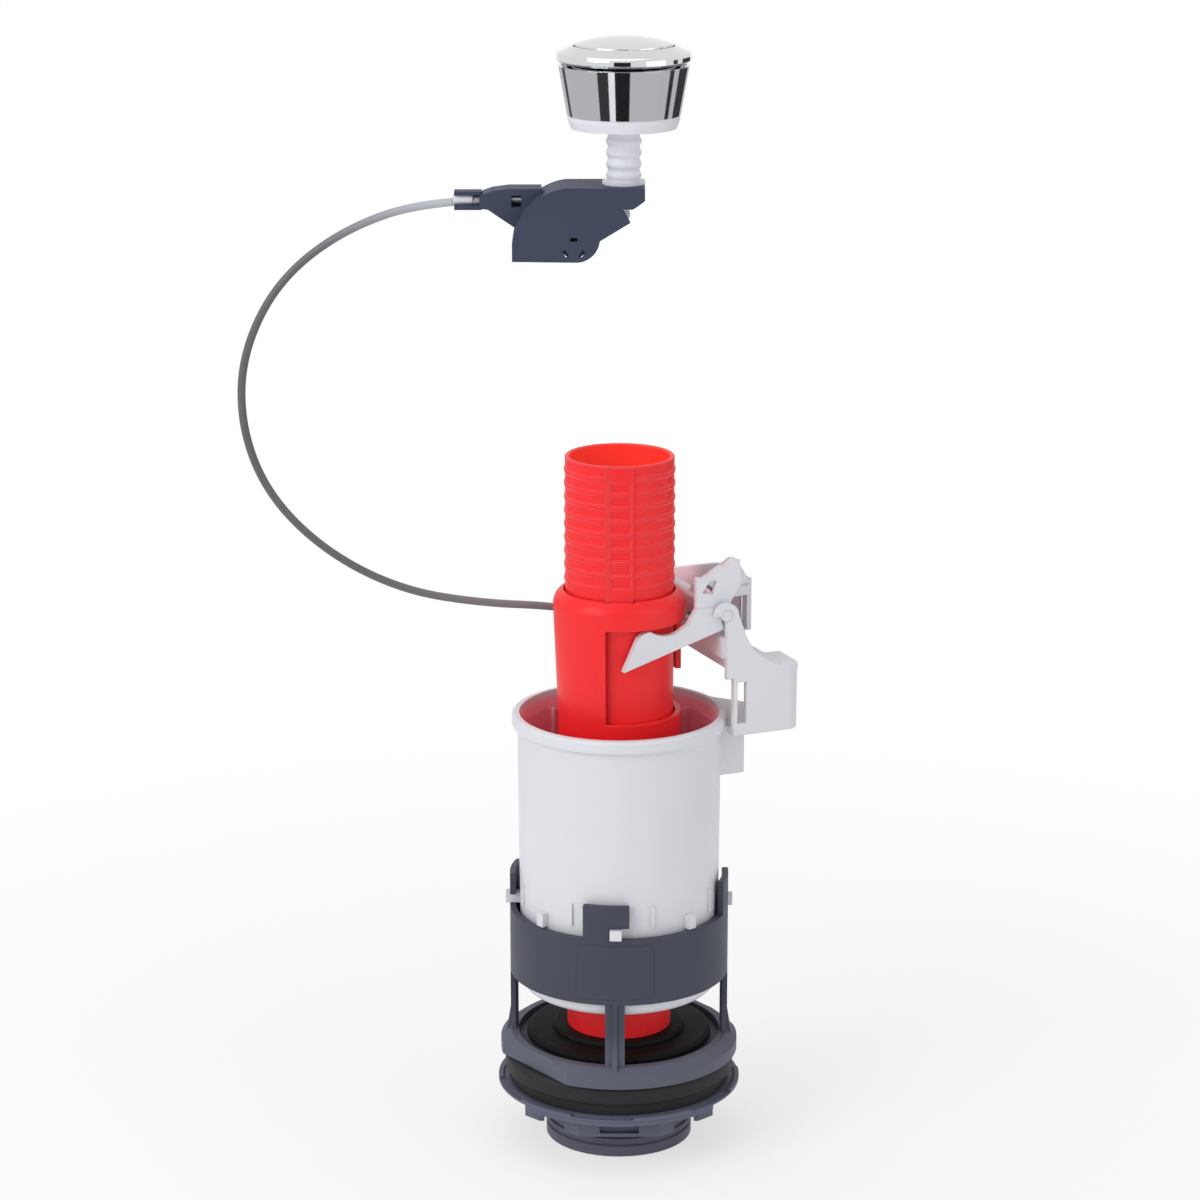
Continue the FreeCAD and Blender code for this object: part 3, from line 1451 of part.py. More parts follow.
def make_button_base():
    """White base: threaded hollow stem, dished foot and the guide for the push rod."""
    body = new_body("button_base", along=S.button_offset)
    top = housing_top
    profile = [
        (S.stem_bore_radius, top - S.stem_spigot_length),
        (S.stem_spigot_radius, top - S.stem_spigot_length),
        (S.stem_spigot_radius, top),
        (S.stem_foot_radius, top),
        (S.stem_foot_radius, top + S.stem_foot_height),
        (S.stem_radius - S.stem_thread_depth, top + S.stem_foot_height),
    ]
    root_radius = S.stem_radius - S.stem_thread_depth
    for turn in range(STEM_THREADS):
        low = top + 1.6 + S.stem_pitch * turn
        profile += [
            (root_radius, low),
            (S.stem_radius, low + S.stem_pitch * 0.3),
            (S.stem_radius, low + S.stem_pitch * 0.5),
            (root_radius, low + S.stem_pitch * 0.8),
        ]
    floor = base_bottom + S.base_floor
    profile += [
        (root_radius, base_bottom),
        (S.base_low_radius, base_bottom),
        (S.base_high_radius, base_bottom + 3.4),
        (S.base_high_radius, base_top),
        (S.bezel_bore_radius + S.base_wall / 3, base_top),
        (S.bezel_bore_radius + S.base_wall / 3, base_rim_top),
        (S.bezel_bore_radius - S.base_wall * 0.6, base_rim_top),
        (S.bezel_bore_radius - S.base_wall * 0.6, floor),
        (S.stem_radius, floor),
        (S.stem_radius, floor + 5),
        (S.stem_bore_radius, floor + 5),
    ]
    revolve(body, "base", profile)
    return body


def make_button_sleeve():
    body = new_body("button_sleeve", along=S.button_offset)
    revolve(body, "cone", [
        (S.sleeve_bottom_radius - S.sleeve_wall, base_top),
        (S.sleeve_bottom_radius, base_top),
        (S.sleeve_top_radius, sleeve_top),
        (S.sleeve_top_radius - S.sleeve_wall, sleeve_top),
    ])
    return body


def make_button_bezel():
    body = new_body("button_bezel", along=S.button_offset)
    skirt_inner = S.bezel_bore_radius + S.base_wall / 3 + S.fit_gap * 2
    skirt_outer = S.sleeve_bottom_radius - S.sleeve_wall + S.fit_gap * 6
    revolve(body, "ring", [
        (skirt_inner, bezel_skirt_bottom),
        (skirt_outer, bezel_skirt_bottom),
        (skirt_outer, sleeve_top),
        (S.bezel_radius - 1.2, bezel_bottom),
        (S.bezel_radius, bezel_bottom + 1.0),
        (S.bezel_radius, bezel_edge - 0.4),
        (S.bezel_radius - 1.4, bezel_edge + 0.9, 1.7),
        (S.bezel_bore_radius + 0.5, bezel_top),
        (S.bezel_bore_radius, bezel_top - 0.5, 0.5),
        (S.bezel_bore_radius, sleeve_top),
        (skirt_inner, sleeve_top - 1.0),
    ])
    return body


def make_button_cap():
    """Domed chrome cap with a short skirt that slides in the bezel."""
    body = new_body("button_cap", along=S.button_offset)
    rise = cap_top - cap_edge
    dome = (S.cap_radius * S.cap_radius + rise * rise) / (rise * 2)
    inner = S.cap_radius - S.cap_wall
    revolve(body, "cap", [
        (S.rod_radius + S.fit_gap, cap_edge - S.cap_wall),
        (inner, cap_edge - S.cap_wall),
        (inner, cap_bottom),
        (S.cap_radius, cap_bottom),
        (S.cap_radius, cap_edge),
        (0, cap_top, dome),
        (0, cap_edge),
        (S.rod_radius + S.fit_gap, cap_edge),
    ])
    return body


def make_push_rod():
    body = new_body("push_rod", along=S.button_offset)
    top = cap_edge - S.fit_gap
    seat = cap_edge - S.cap_wall - S.fit_gap
    revolve(body, "rod", [
        (0, rod_bottom),
        (S.rod_radius - 0.5, rod_bottom),
        (S.rod_radius, rod_bottom + 0.5),
        (S.rod_radius, seat - S.rod_collar_height),
        (S.rod_collar_radius, seat - S.rod_collar_height),
        (S.rod_collar_radius, seat),
        (S.rod_radius, seat),
        (S.rod_radius, top),
        (0, top),
    ])
    return body


def make_button_spring():
    """Coil spring between the base's floor and the push rod's collar."""
    wire = S.spring_wire.value
    low = (base_bottom + S.base_floor).value + wire + S.fit_gap.value
    high = (cap_edge - S.cap_wall - S.rod_collar_height).value - wire - S.fit_gap.value * 2
    length = high - low
    pitch = length / S.spring_turns.value
    radius = S.spring_radius.value
    helix = Part.makeHelix(pitch, length, radius)
    corners = []
    for side in range(WIRE_SIDES + 1):
        angle = 2 * math.pi * side / WIRE_SIDES
        corners.append(FreeCAD.Vector(radius + wire * math.cos(angle), 0, wire * math.sin(angle)))
    section = Part.makePolygon(corners)
    shape = Part.Wire(helix).makePipeShell([section], True, True)
    item = feature("button_spring", shape)
    item.Placement = FreeCAD.Placement(FreeCAD.Vector(S.button_offset.value, 0, low), FreeCAD.Rotation())
    return item


parts = [
    make_base_cage(),
    make_back_nut(),
    make_gasket(),
    make_cup(),
    make_lift_tube(),
    make_overflow_tube(),
    make_valve_seal(),
    make_seal_retainer(),
    make_seal_clip(),
    make_lever_bracket(),
    make_lift_lever(),
    make_cable_sheath(),
    make_actuator_housing(),
    make_actuator_rocker(),
    make_button_base(),
    make_button_sleeve(),
    make_button_bezel(),
    make_button_cap(),
    make_push_rod(),
    make_button_spring(),
]
sheath_ends = cable_points()
parts.append(make_ferrule("upper_ferrule", sheath_ends[0], FreeCAD.Vector(1, 0, 0)))
lower_way = (sheath_ends[-1] - sheath_ends[-2]).normalize()
parts.append(make_ferrule("lower_ferrule", sheath_ends[-1], lower_way))
parts.extend(make_wires())
parts.extend(make_nipples())

doc.recompute()
for item in doc.Objects:
    if "Invalid" in item.State or "Error" in item.State:
        raise ValueError(f"{item.Label} failed: {item.State}")
for part in parts:
    if part.Shape.isNull() or not part.Shape.isValid() or not part.Shape.Solids:
        raise ValueError(f"{part.Label} has no valid solid")

os.makedirs("parts", exist_ok=True)
for part in parts:
    part.Shape.exportStep(os.path.join("parts", part.Label + ".step"))
    print(part.Label, len(part.Shape.Solids), round(part.Shape.Volume / 1000, 2), "cm3")
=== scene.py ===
# %% [markdown]
# A cable-operated flush valve. The real thing stands on the floor of a cistern: a red overflow tube
# slides in a red lift tube, a white cup stands round them on a dark cage, and a button in the lid
# pulls the fork lever through a cable. The moving frame comes first, ready made in CAD, because
# every look that follows is laid on those solids and has to move with them.

# %% Load the frame
import json
import math

import bmesh
import bpy
from mathutils import Matrix, Vector


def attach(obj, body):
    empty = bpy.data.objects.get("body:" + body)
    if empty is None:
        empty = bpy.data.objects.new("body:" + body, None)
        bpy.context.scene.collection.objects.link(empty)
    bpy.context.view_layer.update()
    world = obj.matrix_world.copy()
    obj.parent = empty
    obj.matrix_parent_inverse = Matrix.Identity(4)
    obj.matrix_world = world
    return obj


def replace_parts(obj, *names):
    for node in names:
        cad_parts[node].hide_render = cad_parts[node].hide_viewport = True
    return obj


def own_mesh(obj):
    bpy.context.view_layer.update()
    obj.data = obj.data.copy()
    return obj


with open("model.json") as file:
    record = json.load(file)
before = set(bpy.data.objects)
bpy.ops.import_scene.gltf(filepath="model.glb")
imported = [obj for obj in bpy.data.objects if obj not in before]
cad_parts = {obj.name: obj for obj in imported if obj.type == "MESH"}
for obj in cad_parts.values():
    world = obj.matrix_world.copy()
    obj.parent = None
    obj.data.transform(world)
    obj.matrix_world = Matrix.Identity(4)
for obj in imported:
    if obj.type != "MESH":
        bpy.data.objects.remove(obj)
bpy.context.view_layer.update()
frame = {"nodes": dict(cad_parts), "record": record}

# %% [markdown]
# The photograph is taken from a little above, with a long lens. A camera is set by three things: where
# it stands, how far it is tipped down, and its lens. All three are plain numbers here, so that the
# picture lines up with the photograph, and nothing else in the scene depends on them.

# %% Camera
MM = 0.001
CAMERA_PLACE = (-7.75 * MM, -1400 * MM, 605 * MM)
CAMERA_TILT = 15.15
CAMERA_LENS = 109.44


def make_camera():
    data = bpy.data.cameras.new("camera")
    data.lens = CAMERA_LENS
    data.sensor_width = 36
    data.clip_start = 0.05
    data.clip_end = 20
    camera = bpy.data.objects.new("camera", data)
    camera.location = CAMERA_PLACE
    camera.rotation_euler = (math.radians(90 - CAMERA_TILT), 0, 0)
    bpy.context.scene.collection.objects.link(camera)
    bpy.context.scene.camera = camera
    return camera


camera = make_camera()
print("camera at", [round(v, 3) for v in camera.location])

# %% [markdown]
# The cable is the one flexible thing on the valve: a steel wire in a stiff plastic cover, bent into one
# large loop from the button down to the bracket. It could be a chain of bent tubes, but a real cover
# has no corners, and its bend changes all the way. One NURBS curve with a few control points gives just
# that: the curve never touches the points in between, it only leans towards them, like a springy rod.


# %% Cable
CABLE_THICKNESS = 3.2
CABLE_ROUTE = [
    (-37.5, 0, 386.3), (-73, 0, 386.3), (-108, 4.2, 373.7), (-134.5, 7.2, 352), (-148.9, 9.8, 322),
    (-149.6, 12.1, 292), (-139.5, 14.8, 264.5), (-117.5, 17.8, 241), (-88, 20.7, 224.6),
    (-56, 23.6, 218.3), (-24, 26.8, 216.2), (-4.1, 32.7, 209.4), (11.9, 38.51, 208),
    (28.7, 45.64, 208), (40.83, 40.74, 208), (46.24, 27.99, 208),
]


def make_cable(name, route, thickness):
    data = bpy.data.curves.new(name, "CURVE")
    data.dimensions = "3D"
    data.bevel_depth = 1.0
    data.bevel_resolution = 5
    data.use_fill_caps = True
    line = data.splines.new("NURBS")
    line.points.add(len(route) - 1)
    for point, place in zip(line.points, route):
        point.co = (*(v * MM for v in place), 1)
        point.radius = thickness / 2 * MM
    line.order_u = 3
    line.use_endpoint_u = True
    line.resolution_u = 14
    cable = bpy.data.objects.new(name, data)
    bpy.context.scene.collection.objects.link(cable)
    return cable


cable = make_cable("cable", CABLE_ROUTE, CABLE_THICKNESS)
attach(cable, "cup")
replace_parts(cable, "cable_sheath")
print("cable points:", len(CABLE_ROUTE))

# %% [markdown]
# Materials are graphs of nodes, and a graph is hard to read as a list of links. Three small classes let
# the graphs be written as sums. A Socket is one output of a node, and adding or multiplying it puts a
# Math node behind it. A Graph adds any other node by type, and a Finish is the graph of one material.


# %% Shader helpers
class Socket:
    """One output of a shader node, with arithmetic."""

    def __init__(self, graph, output):
        self.graph = graph
        self.output = output

    def maths(self, operation, *values):
        return self.graph.node("Math", {"operation": operation}, dict(enumerate(values)))

    def __add__(self, other):
        return self.maths("ADD", self, other)

    def __sub__(self, other):
        return self.maths("SUBTRACT", self, other)

    def __mul__(self, other):
        return self.maths("MULTIPLY", self, other)

    def __rsub__(self, other):
        return self.maths("SUBTRACT", other, self)

    __radd__ = __add__
    __rmul__ = __mul__


class Graph:
    """A tree of nodes that are added one by one."""

    def __init__(self, tree):
        self.tree = tree

    def node(self, kind, settings=None, inputs=None, output=0):
        made = self.tree.nodes.new("ShaderNode" + kind)
        for key, value in (settings or {}).items():
            if key == "stops":
                while len(made.color_ramp.elements) < len(value):
                    made.color_ramp.elements.new(1)
                for element, (place, colour) in zip(made.color_ramp.elements, value):
                    element.position = place
                    element.color = colour
            else:
                setattr(made, key, value)
        for key, value in (inputs or {}).items():
            self.feed(made.inputs[key], value)
        return Socket(self, made.outputs[output])

    def feed(self, socket, value):
        if isinstance(value, Socket):
            self.tree.links.new(value.output, socket)
        else:
            socket.default_value = value


class Finish(Graph):
    """The graph of one material, round its principled shader."""

    def __init__(self, name, **constants):
        self.material = bpy.data.materials.new(name)
        self.material.use_nodes = True
        super().__init__(self.material.node_tree)
        self.shader = self.tree.nodes["Principled BSDF"]
        for key, value in constants.items():
            self.shader.inputs[key.replace("_", " ")].default_value = value

    def out(self, name, value):
        self.feed(self.shader.inputs[name], value)

    def show(self, surface):
        """Make another shader the surface of the material."""
        self.feed(self.tree.nodes["Material Output"].inputs["Surface"], surface)

    def place(self):
        return self.node("TexCoord", output="Object")

    def reach(self, place, directions=(1, 1, 0)):
        """Distance from an axis, which is the direction that isn't counted."""
        flat = self.node("VectorMath", {"operation": "MULTIPLY"}, {0: place, 1: directions})
        return self.node("VectorMath", {"operation": "LENGTH"}, {0: flat}, output="Value")

    def noise(self, scale, detail=3.0, rough=0.5):
        sizes = {"Scale": scale, "Detail": detail, "Roughness": rough}
        return self.node("TexNoise", {}, {"Vector": self.place(), **sizes})

    def spread(self, value, low, high):
        """Stretch a value that runs from 0 to 1 over a new range."""
        return value * (high - low) + low

    def ramp(self, value, start, end):
        """0 before start and 1 after end, smooth between them."""
        if start > end:
            return 1 - self.ramp(value, end, start)
        settings = {"interpolation_type": "SMOOTHSTEP"}
        return self.node("MapRange", settings, {"Value": value, "From Min": start, "From Max": end})

    def axis(self, vector, number):
        return self.node("SeparateXYZ", {}, {0: vector}, output=number)

    def height(self):
        return self.axis(self.place(), 2)

    def mix(self, share, first, second):
        return self.node("Mix", {"data_type": "RGBA"}, {0: share, 6: first, 7: second}, output=2)


def rgba(red, green, blue):
    return (red, green, blue, 1.0)


print("helpers ready")

# %% [markdown]
# Most of the valve is injection-moulded plastic. Real mouldings are never one flat colour: the tool's
# fine grain breaks up the shine, the colour drifts a little where the plastic flowed, dust and handling
# dull it in patches, and sharp edges catch a thin light line because they are slightly rounded. Noise
# at three scales gives the first three, and a Bevel node rounds the edges in the shading alone. Where
# its rounded normal and the plain one disagree there is an edge, and the line of light is painted there
# as a paler colour. A finish can also take painted light or shade by a mask, and a painted glow.


# %% Moulded plastic
EDGE_RADIUS = 0.35 * MM
BLACK = (0, 0, 0)


def moulded(
    name, colour, tint, roughness, grain=0.04, shade=None, edge_highlight=None, glow=None, **constants
):
    """shade is a mask and the colour of painted light or shade there, glow is a mask and the colour of a
    painted glow, and rim is a strength and the colour of a painted highlight along edges.
    """
    finish = Finish(name, **constants)
    drift = finish.noise(38, 4.0)
    patch = finish.noise(14, 2.0, 0.6)
    fine = finish.noise(2600, 2.0)
    share = finish.spread(drift, -0.2, 0.9)
    body = finish.mix(share, rgba(*colour), rgba(*tint))
    if shade:
        mask, shade_colour = shade
        body = finish.mix(mask(finish), body, rgba(*shade_colour))
    rounded = finish.node("Bevel", {"samples": 4}, {"Radius": EDGE_RADIUS})
    # Painted highlight: a paler colour mixed in along edges, a thin painted line of light.
    if edge_highlight:
        strength, edge_highlight_colour = edge_highlight
        normals = {0: rounded, 1: finish.node("NewGeometry", output="Normal")}
        agree = finish.node("VectorMath", {"operation": "DOT_PRODUCT"}, normals, output="Value")
        edge = finish.ramp(1 - agree, 0.004, 0.12) * strength
        body = finish.mix(edge, body, rgba(*edge_highlight_colour))
    # A painted glow: the mask's colour is emitted, standing in for light.
    if glow:
        mask, glow_colour = glow
        finish.out("Emission Color", finish.mix(mask(finish), rgba(*BLACK), rgba(*glow_colour)))
        finish.out("Emission Strength", 1.0)
    finish.out("Base Color", body)
    finish.out("Roughness", finish.spread(patch, roughness - 0.08, roughness + 0.1))
    bump = {"Strength": grain, "Distance": 0.2 * MM, "Height": fine, "Normal": rounded}
    finish.out("Normal", finish.node("Bump", {}, bump))
    return finish.material


# Painted glow on the inner wall of the red tube, above about 200 mm, for light coming through the thin
# red wall.
def bore_painted_glow(finish):
    bore = finish.ramp(finish.reach(finish.place()), 20.6 * MM, 20.2 * MM)
    return bore * finish.ramp(finish.height(), 200 * MM, 250 * MM)


red_plastic = moulded(
    "red_plastic", (0.93, 0.020, 0.022), (0.87, 0.014, 0.018), 0.36, edge_highlight=(0.75, (0.97, 0.19, 0.24)),
    glow=(bore_painted_glow, (0.15, 0.024, 0.012)), Specular_IOR_Level=0.3,
)
# The window panes get a deeper, more orange red: painted shade in the sunken windows and painted light
# through their thinner plastic.
red_window_painted_light = moulded(
    "red_window_painted_light", (0.84, 0.022, 0.008), (0.78, 0.016, 0.006), 0.36, edge_highlight=(0.5, (0.95, 0.1, 0.08)),
    Specular_IOR_Level=0.3,
)


# Painted light: the grey plastic is paler below about 62 mm, fully so below 44 mm, for light thrown up
# from the floor.
def flange_painted_light(finish):
    return finish.ramp(finish.height(), 62 * MM, 44 * MM)


grey_plastic = moulded(
    "grey_plastic", (0.058, 0.062, 0.092), (0.050, 0.054, 0.082), 0.5, grain=0.12,
    shade=(flange_painted_light, (0.106, 0.110, 0.150)), Specular_IOR_Level=0.25,
)
nut_plastic = moulded(
    "nut_plastic", (0.118, 0.124, 0.175), (0.102, 0.108, 0.156), 0.5, grain=0.12,
    Specular_IOR_Level=0.35,
)
housing_plastic = moulded(
    "housing_plastic", (0.056, 0.065, 0.108), (0.047, 0.055, 0.094), 0.5, grain=0.12,
    Specular_IOR_Level=0.1,
)
stem_plastic = moulded("stem_plastic", (0.76, 0.77, 0.82), (0.72, 0.73, 0.79), 0.34)
gasket_rubber = moulded(
    "gasket_rubber", (0.018, 0.018, 0.021), (0.024, 0.023, 0.025), 0.6, grain=0.2,
    Specular_IOR_Level=0.25,
)
seal_rubber = moulded(
    "seal_rubber", (0.006, 0.006, 0.006), (0.01, 0.009, 0.009), 0.6, grain=0.15, Specular_IOR_Level=0.12
)
print("plastics:", [m.name for m in bpy.data.materials])

# %% [markdown]
# The cup and its bracket are white. The red tube throws a pink light on the cup's inner wall and on the
# bracket's far wall, and that light is painted into their colour. The paint of a finish can follow the
# object's own coordinates, so each gets a painted soft pink that fades with the place, by a distance
# from the axis for the cup, and by a height in a turned frame for the bracket, whose far wall also has
# a painted glow near its top. The rocker is darkened round its pivot in the same way, a painted shade,
# because little light gets into the housing.


# %% White plastic beside the red tube
BRACKET_TURN = math.radians(23)
FAR_WALL_SKIN = (28.4 * MM, 27.4 * MM)
ROCKER_PIVOT = (-17.8 * MM, 0, 368.8 * MM)


# Painted pink light from the red tube on the cup's inner wall, above about 76 mm.
def cup_painted_pink(finish):
    near = finish.ramp(finish.reach(finish.place()), 39.9 * MM, 39.4 * MM)
    return near * finish.ramp(finish.height(), 76 * MM, 92 * MM)


def bracket_place(finish):
    """Distances along and across the bracket, which is turned about the valve's axis."""
    turn = {"Vector": finish.place(), "Rotation": (0, 0, -BRACKET_TURN)}
    turned = finish.node("Mapping", {}, turn)
    return finish.axis(turned, 0), finish.axis(turned, 1)


# Painted red light and shade on the inside of the bracket's far wall, strongest low down.
def far_wall_painted_red(finish):
    along, across = bracket_place(finish)
    inner = finish.ramp(across, 22 * MM, 25 * MM) * finish.ramp(across, *FAR_WALL_SKIN)
    low = finish.spread(finish.ramp(finish.height(), 232 * MM, 204 * MM), 0.12, 1.0)
    return inner * low * finish.ramp(along, 56 * MM, 44 * MM)


def far_wall_light(finish):
    """The light that the photograph shows on the far wall, strongest at its free top edge."""
    along, across = bracket_place(finish)
    inner = finish.ramp(across, 24 * MM, 26 * MM) * finish.ramp(across, *FAR_WALL_SKIN)
    high = finish.ramp(finish.height(), 214 * MM, 229 * MM)
    return inner * high * finish.ramp(along, 50 * MM, 40 * MM)


def rocker_hub(finish):
    places = {0: finish.place(), 1: ROCKER_PIVOT}
    from_pivot = finish.node("VectorMath", {"operation": "SUBTRACT"}, places)
    return finish.ramp(finish.reach(from_pivot, (1, 0, 1)), 16 * MM, 11 * MM)


def white(name, **looks):
    return moulded(name, (0.73, 0.74, 0.78), (0.69, 0.70, 0.75), 0.42, **looks)


white_plastic = white("white_plastic")
cup_plastic = white("cup_plastic", shade=(cup_painted_pink, (0.97, 0.40, 0.52)))
bracket_plastic = white(
    "bracket_plastic", shade=(far_wall_painted_red, (0.85, 0.10, 0.13)),
    glow=(far_wall_light, (0.36, 0.20, 0.22)),
)
rocker_plastic = white("rocker_plastic", shade=(rocker_hub, (0.015, 0.016, 0.02)))
print("white plastics ready")

# %% [markdown]
# Chrome plating on plastic is a mirror with hardly any colour of its own, so almost all of its look
# comes from what stands round it. The finish only adds what a hand leaves: faint smears that are a
# little rougher. Steel wire is drawn through a die, so its shine is streaked and softer.


# %% Metals
def plated(name, colour, roughness, smear):
    finish = Finish(name, Metallic=1.0)
    duller = [channel * 0.94 for channel in colour]
    finish.out("Base Color", finish.mix(finish.noise(60), rgba(*colour), rgba(*duller)))
    smears = finish.noise(120, 3.0, 0.6)
    finish.out("Roughness", finish.spread(smears, roughness, roughness + smear))
    finish.out("Normal", finish.node("Bevel", {"samples": 4}, {"Radius": 0.3 * MM}))
    return finish.material


chrome = plated("chrome", (0.68, 0.69, 0.71), 0.03, 0.05)
steel = plated("steel", (0.58, 0.58, 0.57), 0.26, 0.16)
print("metals ready")

# %% [markdown]
# The cable's cover is extruded, so it is smoother than a moulding and has no grain, only a slow change
# of shine along its length. The photograph shows it paler towards both ends, most of all at the button.


# %% Cable cover
def extruded(name, colour, tint, roughness):
    finish = Finish(name)
    body = finish.mix(finish.noise(25), rgba(*colour), rgba(*tint))
    along = finish.axis(finish.place(), 0)
    height = finish.height()
    button_end = finish.ramp(along, -128 * MM, -62 * MM) * finish.ramp(height, 300 * MM, 360 * MM)
    lever_end = finish.ramp(along, -110 * MM, -30 * MM) * finish.ramp(height, 265 * MM, 225 * MM)
    body = finish.mix(lever_end * 0.7, body, rgba(0.24, 0.24, 0.26))
    finish.out("Base Color", finish.mix(button_end, body, rgba(0.46, 0.47, 0.52)))
    shine = finish.noise(300, 2.0)
    finish.out("Roughness", finish.spread(shine, roughness - 0.05, roughness + 0.08))
    bump = {"Strength": 0.05, "Distance": 0.1 * MM, "Height": finish.noise(900)}
    finish.out("Normal", finish.node("Bump", {}, bump))
    return finish.material


cable_cover = extruded("cable_cover", (0.125, 0.125, 0.135), (0.1, 0.1, 0.108), 0.42)
cable.data.materials.append(cable_cover)

# %% [markdown]
# Each solid of the frame keeps its shape and gets its finish by name. The record says which finish a
# solid has, so one table of finishes is enough.

# %% Dress the solids
FINISHES = {
    "grey_plastic": grey_plastic,
    "nut_plastic": nut_plastic,
    "housing_plastic": housing_plastic,
    "gasket_rubber": gasket_rubber,
    "seal_rubber": seal_rubber,
    "white_plastic": white_plastic,
    "stem_plastic": stem_plastic,
    "red_plastic": red_plastic,
    "cable_cover": cable_cover,
    "retainer_plastic": seal_rubber,
    "chrome": chrome,
    "steel": steel,
}
OWN_FINISHES = {"cup": cup_plastic, "lever_bracket": bracket_plastic, "actuator_rocker": rocker_plastic}
for subpart in frame["record"]["subparts"]:
    node = frame["nodes"][subpart["node"]]
    node.data.materials.clear()
    node.data.materials.append(OWN_FINISHES.get(subpart["node"], FINISHES[subpart["material_slot"]]))

# %% [markdown]
# The overflow tube shows most of the fine work. Its wall has a ring of grip at every step of height, and
# a ladder of little windows in front, where a catch in the collar holds it. A solid of revolution could
# be turned by a modifier, but a spin in mesh code leaves plain faces that can be worked on: the outline
# of the wall is drawn once and swept round the axis.


# %% Turned shapes
SAME_PLACE = 0.001 * MM


def make_piece(name, shape, body, finish):
    bmesh.ops.remove_doubles(shape, verts=shape.verts, dist=SAME_PLACE)
    bmesh.ops.recalc_face_normals(shape, faces=shape.faces)
    mesh = bpy.data.meshes.new(name)
    shape.to_mesh(mesh)
    shape.free()
    mesh.materials.append(finish)
    piece = bpy.data.objects.new(name, mesh)
    bpy.context.scene.collection.objects.link(piece)
    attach(piece, body)
    print(name, len(mesh.polygons), "faces")
    return piece


def sweep(shape, outline, start, angle, steps, closed=True):
    """Sweep an outline of (reach, height) points about the valve's axis. Angles start in front."""
    begin = math.radians(start - 90)
    corners = []
    for r, z in outline:
        place = (r * MM * math.cos(begin), r * MM * math.sin(begin), z * MM)
        corners.append(shape.verts.new(place))
    pairs = list(zip(corners, corners[1:])) + ([(corners[-1], corners[0])] if closed else [])
    edges = [shape.edges.new(pair) for pair in pairs]
    full = angle == 360
    bmesh.ops.spin(
        shape, geom=corners + edges, cent=(0, 0, 0), axis=(0, 0, 1), angle=math.radians(angle),
        steps=steps, use_merge=full,
    )
    if closed and not full:
        ends = [edge for edge in shape.edges if edge.is_boundary]
        bmesh.ops.holes_fill(shape, edges=ends, sides=0)


TUBE_BORE = 20.0
TUBE_REACH = 21.6
TUBE_LOW = 150
TUBE_TOP = 285.1
GRIP_REACH = 22.0
GRIP_PITCH = 5.5
GRIP_HEIGHT = 2.2
GRIP_SLOPE = 0.5
FIRST_GRIP = 234.6
GRIPS = [FIRST_GRIP + GRIP_PITCH * turn for turn in range(9)]
TUBE_EDGE = 0.4


def make_overflow():
    outline = [(TUBE_BORE, TUBE_TOP - TUBE_EDGE), (TUBE_BORE, TUBE_LOW), (TUBE_REACH, TUBE_LOW)]
    for low in GRIPS:
        outline += [(TUBE_REACH, low), (GRIP_REACH, low + GRIP_SLOPE)]
        outline += [(GRIP_REACH, low + GRIP_HEIGHT - GRIP_SLOPE), (TUBE_REACH, low + GRIP_HEIGHT)]
    outline += [(TUBE_REACH + 0.1, TUBE_TOP - TUBE_EDGE), (TUBE_REACH - 0.3, TUBE_TOP)]
    outline += [(TUBE_BORE + TUBE_EDGE, TUBE_TOP)]
    shape = bmesh.new()
    sweep(shape, outline, 0, 360, 120)
    return make_piece("overflow_wall", shape, "overflow", red_plastic)


overflow = make_overflow()
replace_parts(overflow, "overflow_tube")

# %% [markdown]
# The ladder is a curved plate. It starts as a grid of faces on the plate's outer skin, cut so that some
# faces are just the windows. Each window is inset twice, first by a shallow step and then by a deeper
# one, and moving a face towards the axis is only a scale in the two flat directions.


# %% Ladder
LADDER_REACH = 22.5
LADDER_HALF = 13.6
LADDER_LOW = 222.0
LADDER_BACK = TUBE_REACH - 0.6
WINDOW_RISE = GRIP_HEIGHT - 0.7
WINDOW_HEIGHT = 4.3
WINDOW_SIDES = (-10.2, 11.8)
WINDOW_STEP = 0.45
WINDOW_DEPTH = 1.1
RAIL_STARTS = (-14.7, -12.2)
RAIL_WIDTH = 1.2
RAIL_REACH = 22.75
RIB_REACH = 22.2
RIB_ROOT = 21.4
RIBS = (-37, 18.5)
LINES = (17, 31)


def push_in(shape, faces, depth):
    verts = list({v for face in faces for v in face.verts})
    share = (LADDER_REACH - depth) / LADDER_REACH
    bmesh.ops.scale(shape, vec=(share, share, 1), verts=verts)


def in_window(face, low):
    """Whether a face of the skin lies in the window above the grip that starts at low."""
    centre = face.calc_center_median()
    side = math.degrees(math.atan2(centre.x, -centre.y))
    middle = (low + WINDOW_RISE + WINDOW_HEIGHT / 2) * MM
    return abs(centre.z - middle) < 0.5 * MM and WINDOW_SIDES[0] < side < WINDOW_SIDES[1]


def sink_window(shape, faces):
    bmesh.ops.inset_region(shape, faces=faces, thickness=0.12 * MM, use_even_offset=True)
    push_in(shape, faces, WINDOW_STEP)
    bmesh.ops.inset_region(shape, faces=faces, thickness=0.75 * MM, use_even_offset=True)
    bmesh.ops.inset_region(shape, faces=faces, thickness=0.1 * MM, use_even_offset=True)
    push_in(shape, faces, WINDOW_DEPTH)
    # The sunken faces take the second finish, with its painted shade and light.
    for face in faces:
        face.material_index = 1


